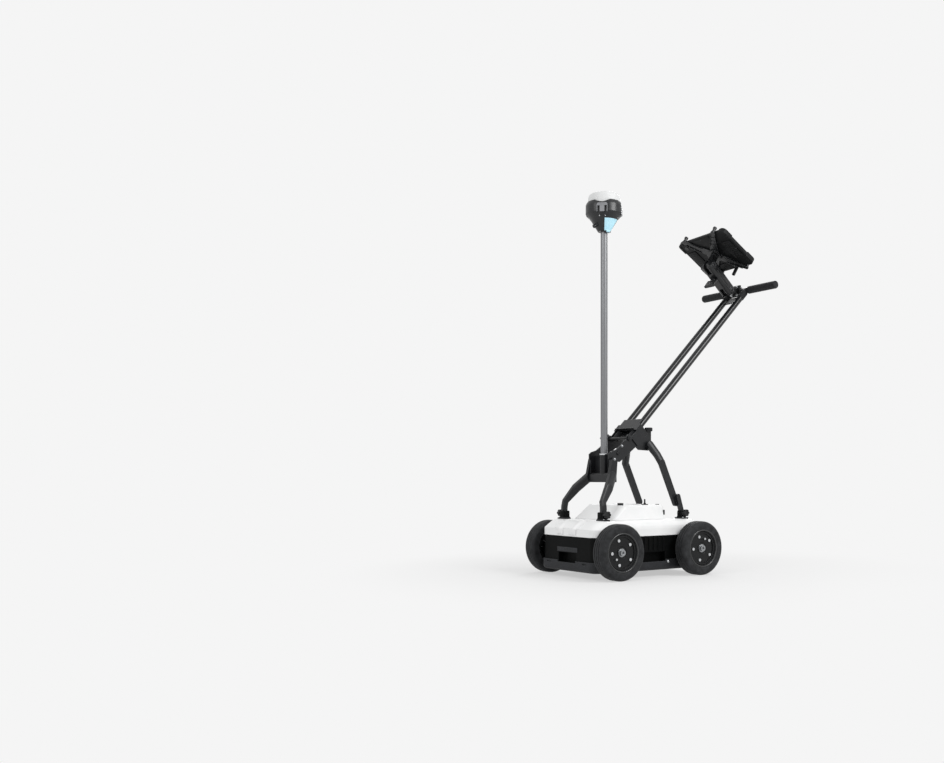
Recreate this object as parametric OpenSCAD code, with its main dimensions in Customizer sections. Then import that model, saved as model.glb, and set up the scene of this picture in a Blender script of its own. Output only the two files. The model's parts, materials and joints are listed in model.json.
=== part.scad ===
// Ground penetrating radar cart: antenna box on four wheels, tube frame, push handle with a tablet,
// and a receiver head on a pole. Millimetres, +Z up, front towards -Y, left side towards +X.
// The cart stands on Z = 0 and the origin lies below the middle of its outline.

/* [Wheels] */
// Outside diameter of the tyres
tyre_d = 200; // [190:1:210]
// Width of the tyres
tyre_w = 54; // [48:1:56]
// Rubber thickness of the tyre's walls
tyre_wall = 7; // [5:0.5:9]
// Diameter of the rim's lips
rim_d = 124; // [118:1:130]
// Bolts that hold the two rim halves
rim_bolt_n = 5; // [4:1:7]
// Diameter of the circle of rim bolts
bolt_circle = 90; // [80:1:92]
// Thread diameter of the rim bolts
rim_bolt_d = 6; // [5:0.5:7]
// Diameter of the rim bolts' heads
rim_head_d = 11; // [9:0.5:12]
// Reach of the wheel hub inward from the tyre's middle
hub_in = 24; // [20:1:26]
// Distance from each end of the tub to the axle beside it
axle_set = 70; // [60:1:80]
// Gap between the tub's side walls and the tyres
wheel_gap = 19; // [16:1:25]
// Diameter of the axle bolts' shoulder
axle_d = 14; // [12:0.5:16]

/* [Antenna box] */
// Width of the tub
tub_w = 326; // [320:1:330]
// Length of the tub
tub_l = 524; // [500:1:540]
// Height of the tub's underside
tub_z = 28; // [26:1:34]
// Height of the seam between the tub and its cover
seam_z = 150; // [146:1:156]
// Wall thickness of the tub and the cover
wall = 4; // [3:0.5:5]
// Corner radius of the tub in plan
tub_r = 30; // [24:1:36]
// Wall thickness of the wear tray under the tub
tray_t = 5; // [4:0.5:7]
// Height of the wear tray's rim above ground
tray_top = 62; // [56:1:66]
// Width of the hand recess in the front and rear walls
grip_w = 108; // [90:1:140]
// Length of the hand recess in the side walls
side_grip_w = 130; // [90:1:140]
// Height of the hand recesses
grip_h = 36; // [28:1:40]
// Depth of the hand recesses
grip_deep = 24; // [18:1:30]
// Height of the deck above ground
deck_z = 207; // [200:1:214]
// How far the cover stands proud of the tub
cover_lip = 4; // [2:0.5:6]
// Radius of the cover's shoulder
shoulder_r = 30; // [24:1:36]

/* [Electronics housing] */
// Width of the housing's foot on the deck
housing_w = 236; // [200:2:240]
// How far each side of the housing leans in towards its top
housing_lean = 10; // [6:1:16]
// Front edge of the housing's foot
housing_front = -149; // [-160:1:-130]
// Front edge of the housing's top
housing_top_front = -95; // [-110:1:-80]
// Rear face of the housing
housing_rear = 115; // [105:1:125]
// Height of the housing's top above ground
housing_top = 260; // [250:1:270]
// Width of the housing's rear face on each side of the battery door
door_side = 23; // [22:1:34]
// Height of the battery door
door_h = 32; // [26:1:36]

/* [Frame] */
// Half the distance between the left and right feet
foot_x = 118; // [110:1:124]
// Distance of each foot from the cart's middle
foot_y = 190; // [180:1:200]
// Height of the foot pins above the deck
foot_rise = 22; // [20:1:26]
// Thickness of the leg bars
leg_t = 12; // [8:0.5:14]
// Width of the leg bars
leg_w = 22; // [18:1:24]
// Diameter of the foot knobs
knob_d = 26; // [22:1:32]
// Diameter of the foot knobs' studs
stud_d = 8; // [6:0.5:10]
// Inside face of the yoke plates
yoke_x = 55.5; // [53:0.5:60]
// Thickness of the yoke plates
yoke_t = 5; // [4:0.5:6]

/* [Push handle] */
// Height of the hinge pin
hinge_z = 509; // [504:1:514]
// Place of the hinge pin along the cart
hinge_y = -20; // [-24:1:-16]
// Diameter of the hinge pin
hinge_d = 12; // [10:0.5:13]
// Distance from the hinge pin back to the rails' middle line
rail_set = 12.7; // [12.5:0.1:15]
// Angle of the handle above the ground
handle_angle = 45; // [40:1:50]
// Distance from the hinge pin to the handle bar
handle_len = 894; // [860:1:920]
// Outside diameter of the rails and the handle bar
rail_d = 25; // [20:0.5:26]
// Wall thickness of the rails
rail_wall = 2; // [1.5:0.5:3]
// Half the distance between the rails
rail_x = 42; // [36:0.5:42]
// Length of the handle bar over its grips
bar_len = 408; // [360:2:440]
// Outside diameter of the grips
grip_d = 31; // [28:0.5:36]
// Length of each grip
grip_len = 148; // [120:1:148]

/* [Tablet and arm] */
// Distance from the handle bar to the arm's lower pivot
arm_reach = 67; // [60:1:75]
// Length of the arm between its pivots
arm_len = 134; // [124:1:145]
// Angle of the arm above the ground
arm_angle = 41; // [36:1:46]
// Width of the arm
arm_w = 52; // [46:1:54]
// Height of the arm
arm_h = 46; // [40:1:48]
// Diameter of the arm's pivots
pivot_d = 10; // [8:0.5:12]
// Width of the tablet
tablet_w = 270; // [250:1:290]
// Height of the tablet
tablet_h = 200; // [180:1:210]
// Thickness of the tablet
tablet_t = 16; // [12:0.5:20]
// Angle of the screen to the ground
screen_angle = 33; // [25:1:40]
// Distance from the arm's upper pivot to the tablet's back
cradle_reach = 61; // [56:1:70]
// Turn of the tablet in its cradle's plane, lower edge towards the left
screen_roll = -3; // [-6:0.5:6]

/* [Receiver pole] */
// Place of the pole along the cart
pole_y = -92; // [-96:1:-88]
// Diameter of the pole
pole_d = 26; // [24:0.5:28]
// Wall thickness of the pole
pole_wall = 2; // [1.5:0.5:3]
// Height of the pole's seat in its socket
socket_z = 379; // [374:1:384]
// Height of the socket's mouth
socket_top = 446; // [440:1:460]
// Height of the receiver's underside
head_z = 1278; // [1200:1:1300]
// Largest diameter of the receiver
head_d = 140; // [130:1:146]
// Height of the receiver
head_h = 140; // [132:1:160]

/* [Hidden] */
$fn = 48;

// Clearances: turning fit, seat between curved faces, slot beside a moving piece
run_gap = 0.05;
seat_gap = 0.2;
slot_gap = 0.3;

// Colours
white_shell = "#f2f3f3";
black_shell = "#232528";
grey_shell = "#4a4c50";
black_rubber = "#2b2c2e";
dark_coat = "#34363a";
black_plastic = "#1b1c1e";
bright_steel = "#c9ccd0";
pale_blue = "#a9e2f5";

// Wheel
tyre_r = tyre_d / 2;
wheel_base = tub_l - 2 * axle_set;
track = tub_w + 2 * wheel_gap + tyre_w;
rim_r = rim_d / 2;
lip_t = 3;
lip_a = 20;
lip_h = 4.5;
bead_r = rim_r - lip_h;
barrel_r = bead_r - 3.5;
hub_d = 34;
web_out = 16;
web_in = -6;
dish = 2;
hub_out = web_out - dish;
hub_len = hub_in + hub_out;
axle_gap = 0.5;
boss_d = 46;
boss_x = track / 2 - hub_in - axle_gap;
valve_d = 8;
washer_d = 30;
axle_head_d = 22;
thread_d = axle_d - 4;
thread_len = 20;
valve_r = 36;
bolt_turn = 38;

// Antenna box
floor_z = tub_z + wall;
cover_w = tub_w + 2 * cover_lip;
cover_l = tub_l + 2 * cover_lip;
cover_r = tub_r + cover_lip + 8;
front_set = 20;
grip_z = 73;
rib_n = 6;
rib_pitch = 22;
housing_r = 22;
housing_top_w = housing_w - 2 * housing_lean;
door_w = housing_w - 2 * door_side;
door_z = (deck_z + housing_top) / 2 - 2;
hinge_r = 3;
latch_x = door_w / 2 - 10;

// Feet
pin_z = deck_z + foot_rise;
ear_t = 5;
ear_in = leg_t / 2 + slot_gap;
ear_out = ear_in + ear_t;
ear_r = 12;
foot_base = [2 * ear_out + 20, 2 * ear_r + 6, ear_t];

// Frame places, left side: x, y, z
leg_top_x = yoke_x + yoke_t + leg_t / 2;
front_leg_path = [
  [foot_x, -foot_y, pin_z],
  [foot_x, 1 - foot_y, pin_z + ear_r + leg_w / 2 + 1],
  [foot_x - 5, 2 - foot_y, pin_z + 45],
  [98, -150, 322],
  [leg_top_x, pole_y - 16, socket_z - 11],
  [leg_top_x, pole_y - 7, socket_top - 21]
];
front_leg_widths = [leg_w, leg_w, leg_w, leg_w + 11, leg_w + 12, leg_w + 4];
lug_w = 18;
lug_len = 66;
lug_lean = 18;
leg_foot_x = foot_x - leg_t;
rear_leg_path = [
  [leg_top_x, 74, hinge_z - 23],
  [90, 91, 448],
  [leg_foot_x, 99, 418],
  [leg_foot_x, foot_y - 20, pin_z + 37]
];
rear_leg_widths = [leg_w + 8, leg_w + 5, leg_w + 4, leg_w + 3];
block_w = 2 * yoke_x;
socket_d = pole_d + 6;
block_back = pole_y + socket_d / 2 - 1;
block_low = socket_z - 34;
collar_d = socket_d + 4;
collar_h = 5;

// Handle: distances along the rails and square to them, from the hinge pin
cheek_gap = 0.7;
cheek_x = yoke_x + yoke_t + cheek_gap;
cheek_t = 4.5;
cheek_low = 6;
cheek_high = 75;
cheek_front = 1.6;
cheek_back = 47.6;
web_t = 3;
web_y = rail_set - rail_d / 2 - seat_gap - web_t;
web_low = 43;
web_high = 103;
rail_low = 13;
bar_off = [handle_len * cos(handle_angle) + rail_set * sin(handle_angle),
           handle_len * sin(handle_angle) - rail_set * cos(handle_angle)];
bar_y = hinge_y + bar_off[0];
bar_z = hinge_z + bar_off[1];

// Arm and tablet
arm_y = bar_y - arm_reach;
arm_z = bar_z;
upper_y = arm_y - arm_len * cos(arm_angle);
upper_z = arm_z + arm_len * sin(arm_angle);
eye_w = 20;
eye_r = 15;
fork_end = 20;
fork_deep = 27;
knob_share = 0.6;
round_base_d = 62;
u_bolt_d = 6;
u_bolt_x = 15;
plate_t = 5;
post_d = 13;
post_x = 86;
tab_x = 42;
post_y = tablet_h / 2 + post_d / 2 + slot_gap;
glass_t = 1.2;
key_travel = 0.6;
key_h = 8;
key_w = 22;
key_x = 46;
bezel = 9;
chin = 20;
tablet_y = upper_y + (cradle_reach + tablet_t / 2) * sin(screen_angle);
tablet_z = upper_z + (cradle_reach + tablet_t / 2) * cos(screen_angle);

// Receiver
head_r = head_d / 2;
head_foot_r = 24.5;
kink_r = 51;
kink_h = 45;
taper_h = 64;
flat_low = 53;
flat_set = 4;
dome_z = head_z + 97;
dome_r = head_r - 10;
dome_edge = 18;
crown_h = 10;
pole_stud_d = 15.875;
door_sweep = 72;
door_t = 3;
door_low = 0.5;
door_high = 41;
door_pin_d = 2.4;
door_pin_x = 22;
door_pin_z = head_z - 2.5;
knuckle_d = 5;
knuckle_w = 16;

// The outline's middle, front to rear: from the front tyres to the rear grips
mid_y = (bar_y + grip_d / 2 - wheel_base / 2 - tyre_r) / 2;

// Points on an arc about c, from angle a to angle b
function arc(c, r, a, b, n = 6) = [for (i = [0:n]) let (t = a + (b - a) * i / n) c + r * [cos(t), sin(t)]];

module place() {
  translate([0, -mid_y, 0]) children();
}

module both_sides() {
  children();
  mirror([1, 0, 0]) children();
}

// Outline in the Y-Z plane, given a thickness along X from x0
module side_plate(x0, t) {
  translate([x0, 0, 0]) rotate([90, 0, 90]) linear_extrude(t) children();
}

module round_rect(w, l, r) {
  square([w - 2 * r, l], center = true);
  square([w, l - 2 * r], center = true);
  for (sx = [-1, 1], sy = [-1, 1]) translate([sx * (w / 2 - r), sy * (l / 2 - r)]) circle(r);
}

// Rod or hole along X, centred on p
module x_rod(p, d, len) {
  translate(p) rotate([0, 90, 0]) cylinder(d = d, h = len, center = true);
}

// Flat bar with round bends through the points of a path, with its width at each
module bar_run(path, widths, t) {
  for (i = [0:len(path) - 2]) hull() for (k = [i, i + 1])
    translate(path[k]) rotate([0, 90, 0]) cylinder(d = widths[k], h = t, center = true, $fn = 32);
}

// Disc with a rounded upper edge
module shoulder_disc(r, h, e) {
  rotate_extrude($fn = 32)
    polygon(concat([[0, 0], [r, 0]], arc([r - e, h - e], e, 0, 90, 5), [[0, h]]));
}

// Wheel frame: local Z points outward from the cart
module at_wheel(side, end) {
  translate([side * track / 2, end * wheel_base / 2, tyre_r]) rotate([0, side * 90, 0]) children();
}

module on_bolt_circle(n, r, turn) {
  for (i = [0:n - 1]) let (t = turn + 360 * i / n)
    translate([-r * sin(t), r * cos(t), 0]) children();
}

module tyre() {
  shoulder = 13;
  half = tyre_w / 2;
  groove = [2.4, 3];
  mouth = lip_a - lip_t - seat_gap;
  low = rim_r + 1.5;
  flank = [[bead_r + seat_gap, mouth], [low, mouth], [low, half - 7], [low + 2.5, half - 2.6],
           [low + 5, half - 1.2], [low + 6.5, half - 2], [low + 12, half - 0.6]];
  hollow = [tyre_r - tyre_wall - low - 9, tyre_w - 2 * tyre_wall - 2];
  color(black_rubber) rotate_extrude($fn = 96) difference() {
    polygon(concat(
      flank,
      arc([tyre_r - shoulder, half - shoulder], shoulder, 90, 0),
      arc([tyre_r - shoulder, shoulder - half], shoulder, 0, -90),
      [for (i = [len(flank) - 1:-1:0]) [flank[i][0], -flank[i][1]]]));
    translate([tyre_r - tyre_wall - hollow[0] / 2, 0]) round_rect(hollow[0], hollow[1], 8);
    translate([bead_r - 1, tyre_wall - mouth]) square([tyre_r - tyre_wall - bead_r - 6, 2 * (mouth - tyre_wall)]);
    for (i = [-1:1]) translate([tyre_r - groove[0], i * tyre_w / 5 - groove[1] / 2])
      square([2 * groove[0], groove[1]]);
  }
}

module rim() {
  bore_r = axle_d / 2 + run_gap;
  color(black_plastic) difference() {
    rotate_extrude($fn = 96) polygon([
      [bore_r, -hub_in], [hub_d / 2, -hub_in], [hub_d / 2, web_in], [barrel_r, web_in], [barrel_r, -lip_a],
      [rim_r - 1, -lip_a], [rim_r, 1 - lip_a], [rim_r, lip_t - lip_a], [bead_r, lip_t - lip_a],
      [bead_r, lip_a - lip_t], [rim_r, lip_a - lip_t], [rim_r, lip_a - 1], [rim_r - 1, lip_a],
      [barrel_r + 1, lip_a], [barrel_r, web_out], [hub_d / 2 + 6, web_out], [hub_d / 2 + 4, hub_out],
      [bore_r, hub_out]
    ]);
    on_bolt_circle(rim_bolt_n, bolt_circle / 2, bolt_turn)
      translate([0, 0, -lip_a]) cylinder(d = rim_bolt_d + 2 * seat_gap, h = 2 * lip_a);
    on_bolt_circle(1, valve_r, bolt_turn + 180 / rim_bolt_n)
      translate([0, 0, web_in - 1]) cylinder(d = valve_d + 2 * seat_gap, h = lip_a + web_out);
  }
}

// Five bolts with their nuts, and the valve stem
module rim_bolts() {
  head_h = 4;
  nut_h = 5;
  color(bright_steel) {
    on_bolt_circle(rim_bolt_n, bolt_circle / 2, bolt_turn) {
      translate([0, 0, web_out]) cylinder(d = rim_head_d, h = head_h);
      translate([0, 0, web_in - nut_h]) cylinder(d = rim_bolt_d, h = web_out - web_in + nut_h + head_h);
      translate([0, 0, web_in - nut_h]) cylinder(d = rim_head_d, h = nut_h, $fn = 6);
    }
    on_bolt_circle(1, valve_r, bolt_turn + 180 / rim_bolt_n) {
      translate([0, 0, web_in - 6]) cylinder(d = valve_d, h = web_out - web_in + 14);
      translate([0, 0, web_in - 6]) cylinder(d = valve_d + 4, h = 6);
    }
  }
}

// Turn of each wheel that puts its valve where it stopped
function wheel_turn(end) = end < 0 ? 144 : 0;

// Shoulder bolts that carry the wheels
module axle_bolts() {
  shoulder = hub_len + 2 * axle_gap;
  color(bright_steel) for (side = [-1, 1], end = [-1, 1]) at_wheel(side, end) {
    translate([0, 0, boss_x - track / 2]) cylinder(d = axle_d, h = shoulder);
    translate([0, 0, boss_x - track / 2 - thread_len]) cylinder(d = thread_d, h = thread_len + 1);
    translate([0, 0, boss_x - track / 2 + shoulder]) cylinder(d = washer_d, h = 2);
    translate([0, 0, boss_x - track / 2 + shoulder]) difference() {
      cylinder(d = axle_head_d, h = 10);
      translate([0, 0, 5]) cylinder(d = axle_head_d / 2, h = 6, $fn = 6);
    }
  }
}

// Hand recesses: four boxes, each as wide as w along the wall
module hand_recesses(grow) {
  h = grip_h + 2 * grow;
  for (s = [-1, 1]) {
    translate([0, s * (tub_l / 2 - grip_deep / 2 + wall), grip_z])
      cube([grip_w + 2 * grow, grip_deep + 2 * wall + 2 * grow, h], center = true);
    translate([s * (tub_w / 2 - grip_deep / 2 + wall), 0, grip_z])
      cube([grip_deep + 2 * wall + 2 * grow, side_grip_w + 2 * grow, h], center = true);
  }
}

module tub() {
  h = seam_z - tub_z;
  rib_z = grip_z + grip_h / 2 + 6;
  pad = [grip_w + 7, 3, 12];
  color(black_shell) difference() {
    union() {
      difference() {
        translate([0, 0, tub_z]) linear_extrude(h) round_rect(tub_w, tub_l, tub_r);
        translate([0, 0, floor_z]) linear_extrude(h) round_rect(tub_w - 2 * wall, tub_l - 2 * wall, tub_r - wall);
      }
      intersection() {
        hand_recesses(wall);
        translate([0, 0, tub_z]) linear_extrude(h) round_rect(tub_w, tub_l, tub_r);
      }
      for (side = [-1, 1], end = [-1, 1]) at_wheel(side, end)
        translate([0, 0, tub_w / 2 - wall - track / 2]) cylinder(d = boss_d, h = boss_x - tub_w / 2 + wall);
      for (side = [-1, 1], i = [0:rib_n - 1])
        translate([side * tub_w / 2, (i - (rib_n - 1) / 2) * rib_pitch, (rib_z + seam_z) / 2 - 3])
          cube([6, 7, seam_z - rib_z - 6], center = true);
      for (end = [-1, 1]) translate([0, end * tub_l / 2, grip_z + grip_h / 2 + 11]) cube(pad, center = true);
    }
    hand_recesses(0);
    for (side = [-1, 1], end = [-1, 1]) at_wheel(side, end)
      translate([0, 0, boss_x - track / 2 - thread_len]) cylinder(d = thread_d + 2 * run_gap, h = thread_len + 1);
    x_rod([tub_w / 2, sensor_y, tyre_r], sensor_d + 2 * run_gap, 4 * wall);
  }
}
sensor_d = 12;
sensor_y = wheel_base / 2 - bolt_circle / 2;

module wear_tray() {
  w = tub_w + 2 * (tray_t + seat_gap);
  l = tub_l + 2 * (tray_t + seat_gap);
  r = tub_r + tray_t;
  edge = 14;
  h = tray_top - tub_z + tray_t;
  slot = [25, 8, 6];
  color(grey_shell) difference() {
    hull() for (sx = [-1, 1], sy = [-1, 1])
      translate([sx * (w / 2 - r), sy * (l / 2 - r), tray_top]) mirror([0, 0, 1]) shoulder_disc(r, h, edge);
    translate([0, 0, tub_z]) linear_extrude(h)
      round_rect(tub_w + 2 * seat_gap, tub_l + 2 * seat_gap, tub_r + seat_gap);
    hand_recesses(0);
    for (sx = [-1, 1], sy = [-1, 1]) translate([sx * 108, sy * l / 2, tray_top - 8]) cube(slot, center = true);
  }
}

// The cover's outside, or its inside when set in by the wall
module cover_form(inset) {
  r = cover_r - inset;
  h = deck_z - seam_z - inset;
  hull() {
    for (sx = [-1, 1], sy = [-1, 1])
      translate([sx * (cover_w / 2 - cover_r), sy * (cover_l / 2 - cover_r), seam_z])
        cylinder(r = r, h = h - shoulder_r, $fn = 32);
    for (sx = [-1, 1], sy = [-1, 1])
      translate([sx * (cover_w / 2 - cover_r), sy * (cover_l / 2 - cover_r - front_set), seam_z])
        shoulder_disc(r, h, shoulder_r - inset);
  }
}

module top_cover() {
  panel = [150, 110];
  color(white_shell) difference() {
    union() {
      cover_form(0);
      intersection() {
        translate([0, -3, -0.01]) cover_form(0);
        translate([0, -cover_l / 2, seam_z + 8]) rotate([-90, 0, 0]) linear_extrude(panel[1])
          polygon([[-panel[0] / 2, 0], [panel[0] / 2, 0], [panel[0] / 2 - 16, -deck_z], [16 - panel[0] / 2, -deck_z]]);
      }
    }
    translate([0, 0, -0.01]) cover_form(wall);
  }
}

// The housing's outside, or its inside when set in by the wall
module housing_form(inset) {
  len_low = housing_rear - housing_front;
  len_top = housing_rear - housing_top_front;
  hull() {
    translate([0, housing_front + len_low / 2, deck_z]) linear_extrude(2)
      round_rect(housing_w - 2 * inset, len_low - 2 * inset, housing_r - inset, $fn = 32);
    translate([0, housing_top_front + len_top / 2, housing_top - 8 - inset]) linear_extrude(2)
      round_rect(housing_top_w + 4 - 2 * inset, len_top - 2 * inset, housing_r - inset, $fn = 32);
    translate([0, housing_top_front + len_top / 2, housing_top - 1 - inset]) linear_extrude(1)
      round_rect(housing_top_w - 10 - 2 * inset, len_top - 12 - 2 * inset, housing_r - 6 - inset, $fn = 32);
  }
}

cap_at = [housing_top_w / 2 - 38, -71];
stem_at = [housing_top_w / 2 - 38, 47];
button_at = [housing_top_w / 2 - 22, 96];
cap_d = 22;
button_d = 14;
stem_d = 9;
socket_bore = 16;

module electronics_housing() {
  lug_h = 6;
  color(white_shell) difference() {
    union() {
      difference() {
        housing_form(0);
        translate([0, 0, -0.01]) housing_form(wall);
      }
      for (s = [-1, 1]) translate([hinge_x, hinge_pin_y, door_z + s * (door_h / 2 - lug_h / 2)]) {
        cylinder(r = hinge_r, h = lug_h, center = true);
        translate([0, -hinge_r, 0]) cube([2 * hinge_r, 2 * hinge_r, lug_h], center = true);
      }
    }
    translate([0, housing_rear - wall / 2, door_z]) cube([door_w + 2 * slot_gap, 3 * wall, door_h + 2 * slot_gap - 2 * lug_h], center = true);
    translate([door_gap_x, housing_rear - wall / 2, door_z]) cube([door_w - 20, 3 * wall, door_h + 2 * slot_gap], center = true);
    translate([hinge_x, hinge_pin_y, door_z]) cylinder(d = hinge_pin_d + 2 * run_gap, h = 2 * door_h, center = true);
    translate([button_at[0], button_at[1], housing_top]) cylinder(d = button_d + 2 * slot_gap, h = 4 * wall, center = true);
    translate([cap_at[0], cap_at[1], housing_top]) cylinder(d = socket_bore, h = 4 * wall, center = true);
    translate([stem_at[0], stem_at[1], housing_top]) cylinder(d = stem_d + 2 * seat_gap, h = 4 * wall, center = true);
  }
}
hinge_x = -door_w / 2 - hinge_r;
hinge_pin_y = housing_rear + hinge_r + seat_gap;
hinge_pin_d = 3;
door_gap_x = 10;

// Door plate, hinged on its right edge, with the hinge pin
module battery_door() {
  lug_h = 6;
  color(white_shell) difference() {
    union() {
      translate([0, housing_rear - wall / 2, door_z]) cube([door_w, wall, door_h - 2 * lug_h - 2 * slot_gap], center = true);
      translate([door_gap_x, housing_rear - wall / 2, door_z]) cube([door_w - 20 - 2 * slot_gap, wall, door_h], center = true);
      translate([hinge_x, hinge_pin_y, door_z]) {
        cylinder(r = hinge_r, h = door_h - 2 * lug_h - 2 * slot_gap, center = true);
        cylinder(d = hinge_pin_d, h = door_h, center = true);
        translate([hinge_r, 0, 0]) cube([2 * hinge_r, 2 * hinge_r, door_h - 2 * lug_h - 2 * slot_gap], center = true);
      }
      translate([hinge_x + 3 * hinge_r, housing_rear, door_z])
        cube([2 * hinge_r, 2 * hinge_r + seat_gap, door_h - 2 * lug_h - 2 * slot_gap], center = true);
    }
    translate([latch_x, housing_rear, door_z]) rotate([90, 0, 0])
      cylinder(d = latch_d + 2 * run_gap, h = 4 * wall, center = true);
  }
}
latch_d = 7;

// Quarter-turn latch: wing outside, cam inside
module door_latch() {
  wing = [7, 8, 20];
  cam = [6, 3, 15.5];
  cam_low = 3;
  cam_set = 1.5;
  color(black_plastic) translate([latch_x, housing_rear, door_z]) {
    translate([0, seat_gap + wing[1] / 2, 0]) cube(wing, center = true);
    rotate([90, 0, 0]) translate([0, 0, -seat_gap - 1]) cylinder(d = latch_d, h = wall + 2 * seat_gap + cam_set + 3);
    translate([-cam[0] / 2, -wall - 2 * seat_gap - cam_set - cam[1], -cam_low]) cube(cam);
  }
}

module power_button() {
  flange = 3;
  color(grey_shell) translate([button_at[0], button_at[1], housing_top - wall - slot_gap]) {
    translate([0, 0, -flange]) cylinder(d = button_d, h = flange + slot_gap + wall + 2.5);
    translate([0, 0, -flange]) cylinder(d = button_d + 3, h = flange);
  }
}

// Screw cap over the data socket
module connector_cap() {
  flutes = 12;
  color(black_plastic) translate([cap_at[0], cap_at[1], housing_top + slot_gap]) difference() {
    union() {
      cylinder(d = cap_d, h = 8);
      translate([0, 0, -wall]) cylinder(d = socket_bore - 2 * run_gap, h = wall + 1);
    }
    for (i = [0:flutes - 1]) rotate(i * 360 / flutes)
      translate([cap_d / 2 + 1, 0, 3]) cylinder(d = 5, h = 12);
  }
}

module stub_antenna() {
  color(black_plastic) translate([stem_at[0], stem_at[1], housing_top]) {
    cylinder(d = 26, h = 3);
    translate([0, 0, -wall]) cylinder(d = stem_d, h = 2 * wall);
    translate([0, 0, 3]) cylinder(d = stem_d, h = 4);
    translate([0, 0, 7]) cylinder(d = 6, h = 12);
    translate([0, 0, 19]) sphere(d = 6);
  }
}

shield_h = 72;
shield_l = tub_l - 2 * grip_deep - 4 * wall - 12;
shield_w = tub_w - 2 * grip_deep - 4 * wall - 12;

// Metal hood over the antennas
module shield_box() {
  sheet = 1.5;
  color(bright_steel) difference() {
    translate([0, 0, floor_z + shield_h / 2]) cube([shield_w, shield_l, shield_h], center = true);
    for (s = [-1, 1]) translate([0, s * shield_l / 4, floor_z + shield_h / 2 - sheet])
      cube([shield_w - 2 * sheet, shield_l / 2 - 2 * sheet, shield_h], center = true);
  }
}

// Transmit and receive bow-tie antennas on their boards
module antenna_boards() {
  board = [shield_w - 30, shield_l / 2 - 40, 3];
  gap = 4;
  color("#2f6b45") for (s = [-1, 1]) translate([0, s * shield_l / 4, floor_z + board[2] / 2]) {
    cube(board, center = true);
    for (t = [0, 180]) rotate(t) translate([0, 0, board[2] / 2 - 0.5]) linear_extrude(1.5)
      polygon([[3, gap], [board[0] / 2 - 12, board[1] / 2 - 8], [12 - board[0] / 2, board[1] / 2 - 8], [-3, gap]]);
  }
}

// Radar board on stand-offs above the hood
module main_board() {
  board = [200, 150, 2];
  rise = 6;
  z = floor_z + shield_h;
  color("#2f6b45") {
    translate([0, 0, z + rise + board[2] / 2]) cube(board, center = true);
    for (sx = [-1, 1], sy = [-1, 1]) translate([sx * 90, sy * 65, z]) cylinder(d = 8, h = rise + 1);
    translate([-40, 20, z + rise + board[2] + 4]) cube([60, 50, 10], center = true);
    translate([50, -30, z + rise + board[2] + 2]) cube([36, 36, 6], center = true);
    for (i = [-1:1]) translate([70, 50 + 8 * i, z + rise + board[2] + 3]) cube([24, 5, 8], center = true);
  }
}

module battery_pack() {
  pack = [160, 100, 34];
  color(grey_shell) translate([0, housing_rear - wall - pack[1] / 2 - 14, deck_z]) linear_extrude(pack[2])
    round_rect(pack[0], pack[1], 6);
}

// Pick-up that counts the bolts of the rear left wheel
module wheel_sensor() {
  face = track / 2 + web_in - 9;
  color(bright_steel) {
    translate([tub_w / 2 - 2 * wall, sensor_y, tyre_r]) rotate([0, 90, 0])
      cylinder(d = sensor_d, h = face - tub_w / 2 + 2 * wall);
    translate([tub_w / 2, sensor_y, tyre_r]) rotate([0, 90, 0]) cylinder(d = sensor_d + 7, h = 4, $fn = 6);
  }
}

module at_feet() {
  for (sx = [-1, 1], sy = [-1, 1]) translate([sx * foot_x, sy * foot_y, 0]) children();
}

// Clevis feet bolted to the deck
module foot_brackets() {
  color(dark_coat) at_feet() difference() {
    union() {
      translate([0, 0, deck_z + ear_t / 2]) cube(foot_base, center = true);
      for (s = [-1, 1]) translate([s * (ear_in + ear_t / 2), 0, 0]) {
        translate([0, 0, (deck_z + pin_z) / 2]) cube([ear_t, 2 * ear_r, foot_rise], center = true);
        translate([0, 0, pin_z]) rotate([0, 90, 0]) cylinder(r = ear_r, h = ear_t, center = true);
      }
    }
    x_rod([0, 0, pin_z], stud_d + 2 * run_gap, 4 * ear_out);
  }
}

// Lobed knob on a stud; local Z runs outward along the stud
module lobed_knob(d, h, lobes) {
  difference() {
    cylinder(d = d, h = h);
    for (i = [0:lobes - 1]) rotate(i * 360 / lobes) translate([d / 2 + 2, 0, -1]) cylinder(d = d / 3, h = h + 2);
    translate([0, 0, h - 1.5]) cylinder(d = d / 2, h = 2);
  }
}

module foot_knob(side, end) {
  color(black_plastic) translate([side * foot_x, end * foot_y, pin_z]) rotate([0, side * 90, 0]) {
    translate([0, 0, -ear_out - 3]) cylinder(d = stud_d, h = 2 * ear_out + 5);
    translate([0, 0, ear_out + slot_gap]) cylinder(d = knob_d / 1.6, h = 5);
    translate([0, 0, ear_out + slot_gap + 4]) lobed_knob(knob_d, 14, 6);
  }
}

module front_leg() {
  color(dark_coat) difference() {
    bar_run(front_leg_path, front_leg_widths, leg_t);
    x_rod(front_leg_path[0], stud_d + 2 * run_gap, 4 * leg_t);
  }
}

// Bent leg bar with the lug that joins it to its foot
module rear_leg() {
  foot = [foot_x, foot_y, pin_z];
  color(dark_coat) {
    bar_run(rear_leg_path, rear_leg_widths, leg_t);
    difference() {
      bar_run([foot, foot + [0, -lug_len * sin(lug_lean), lug_len * cos(lug_lean)]], [lug_w, lug_w], leg_t);
      x_rod(foot, stud_d + 2 * run_gap, 4 * leg_t);
    }
  }
}

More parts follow.
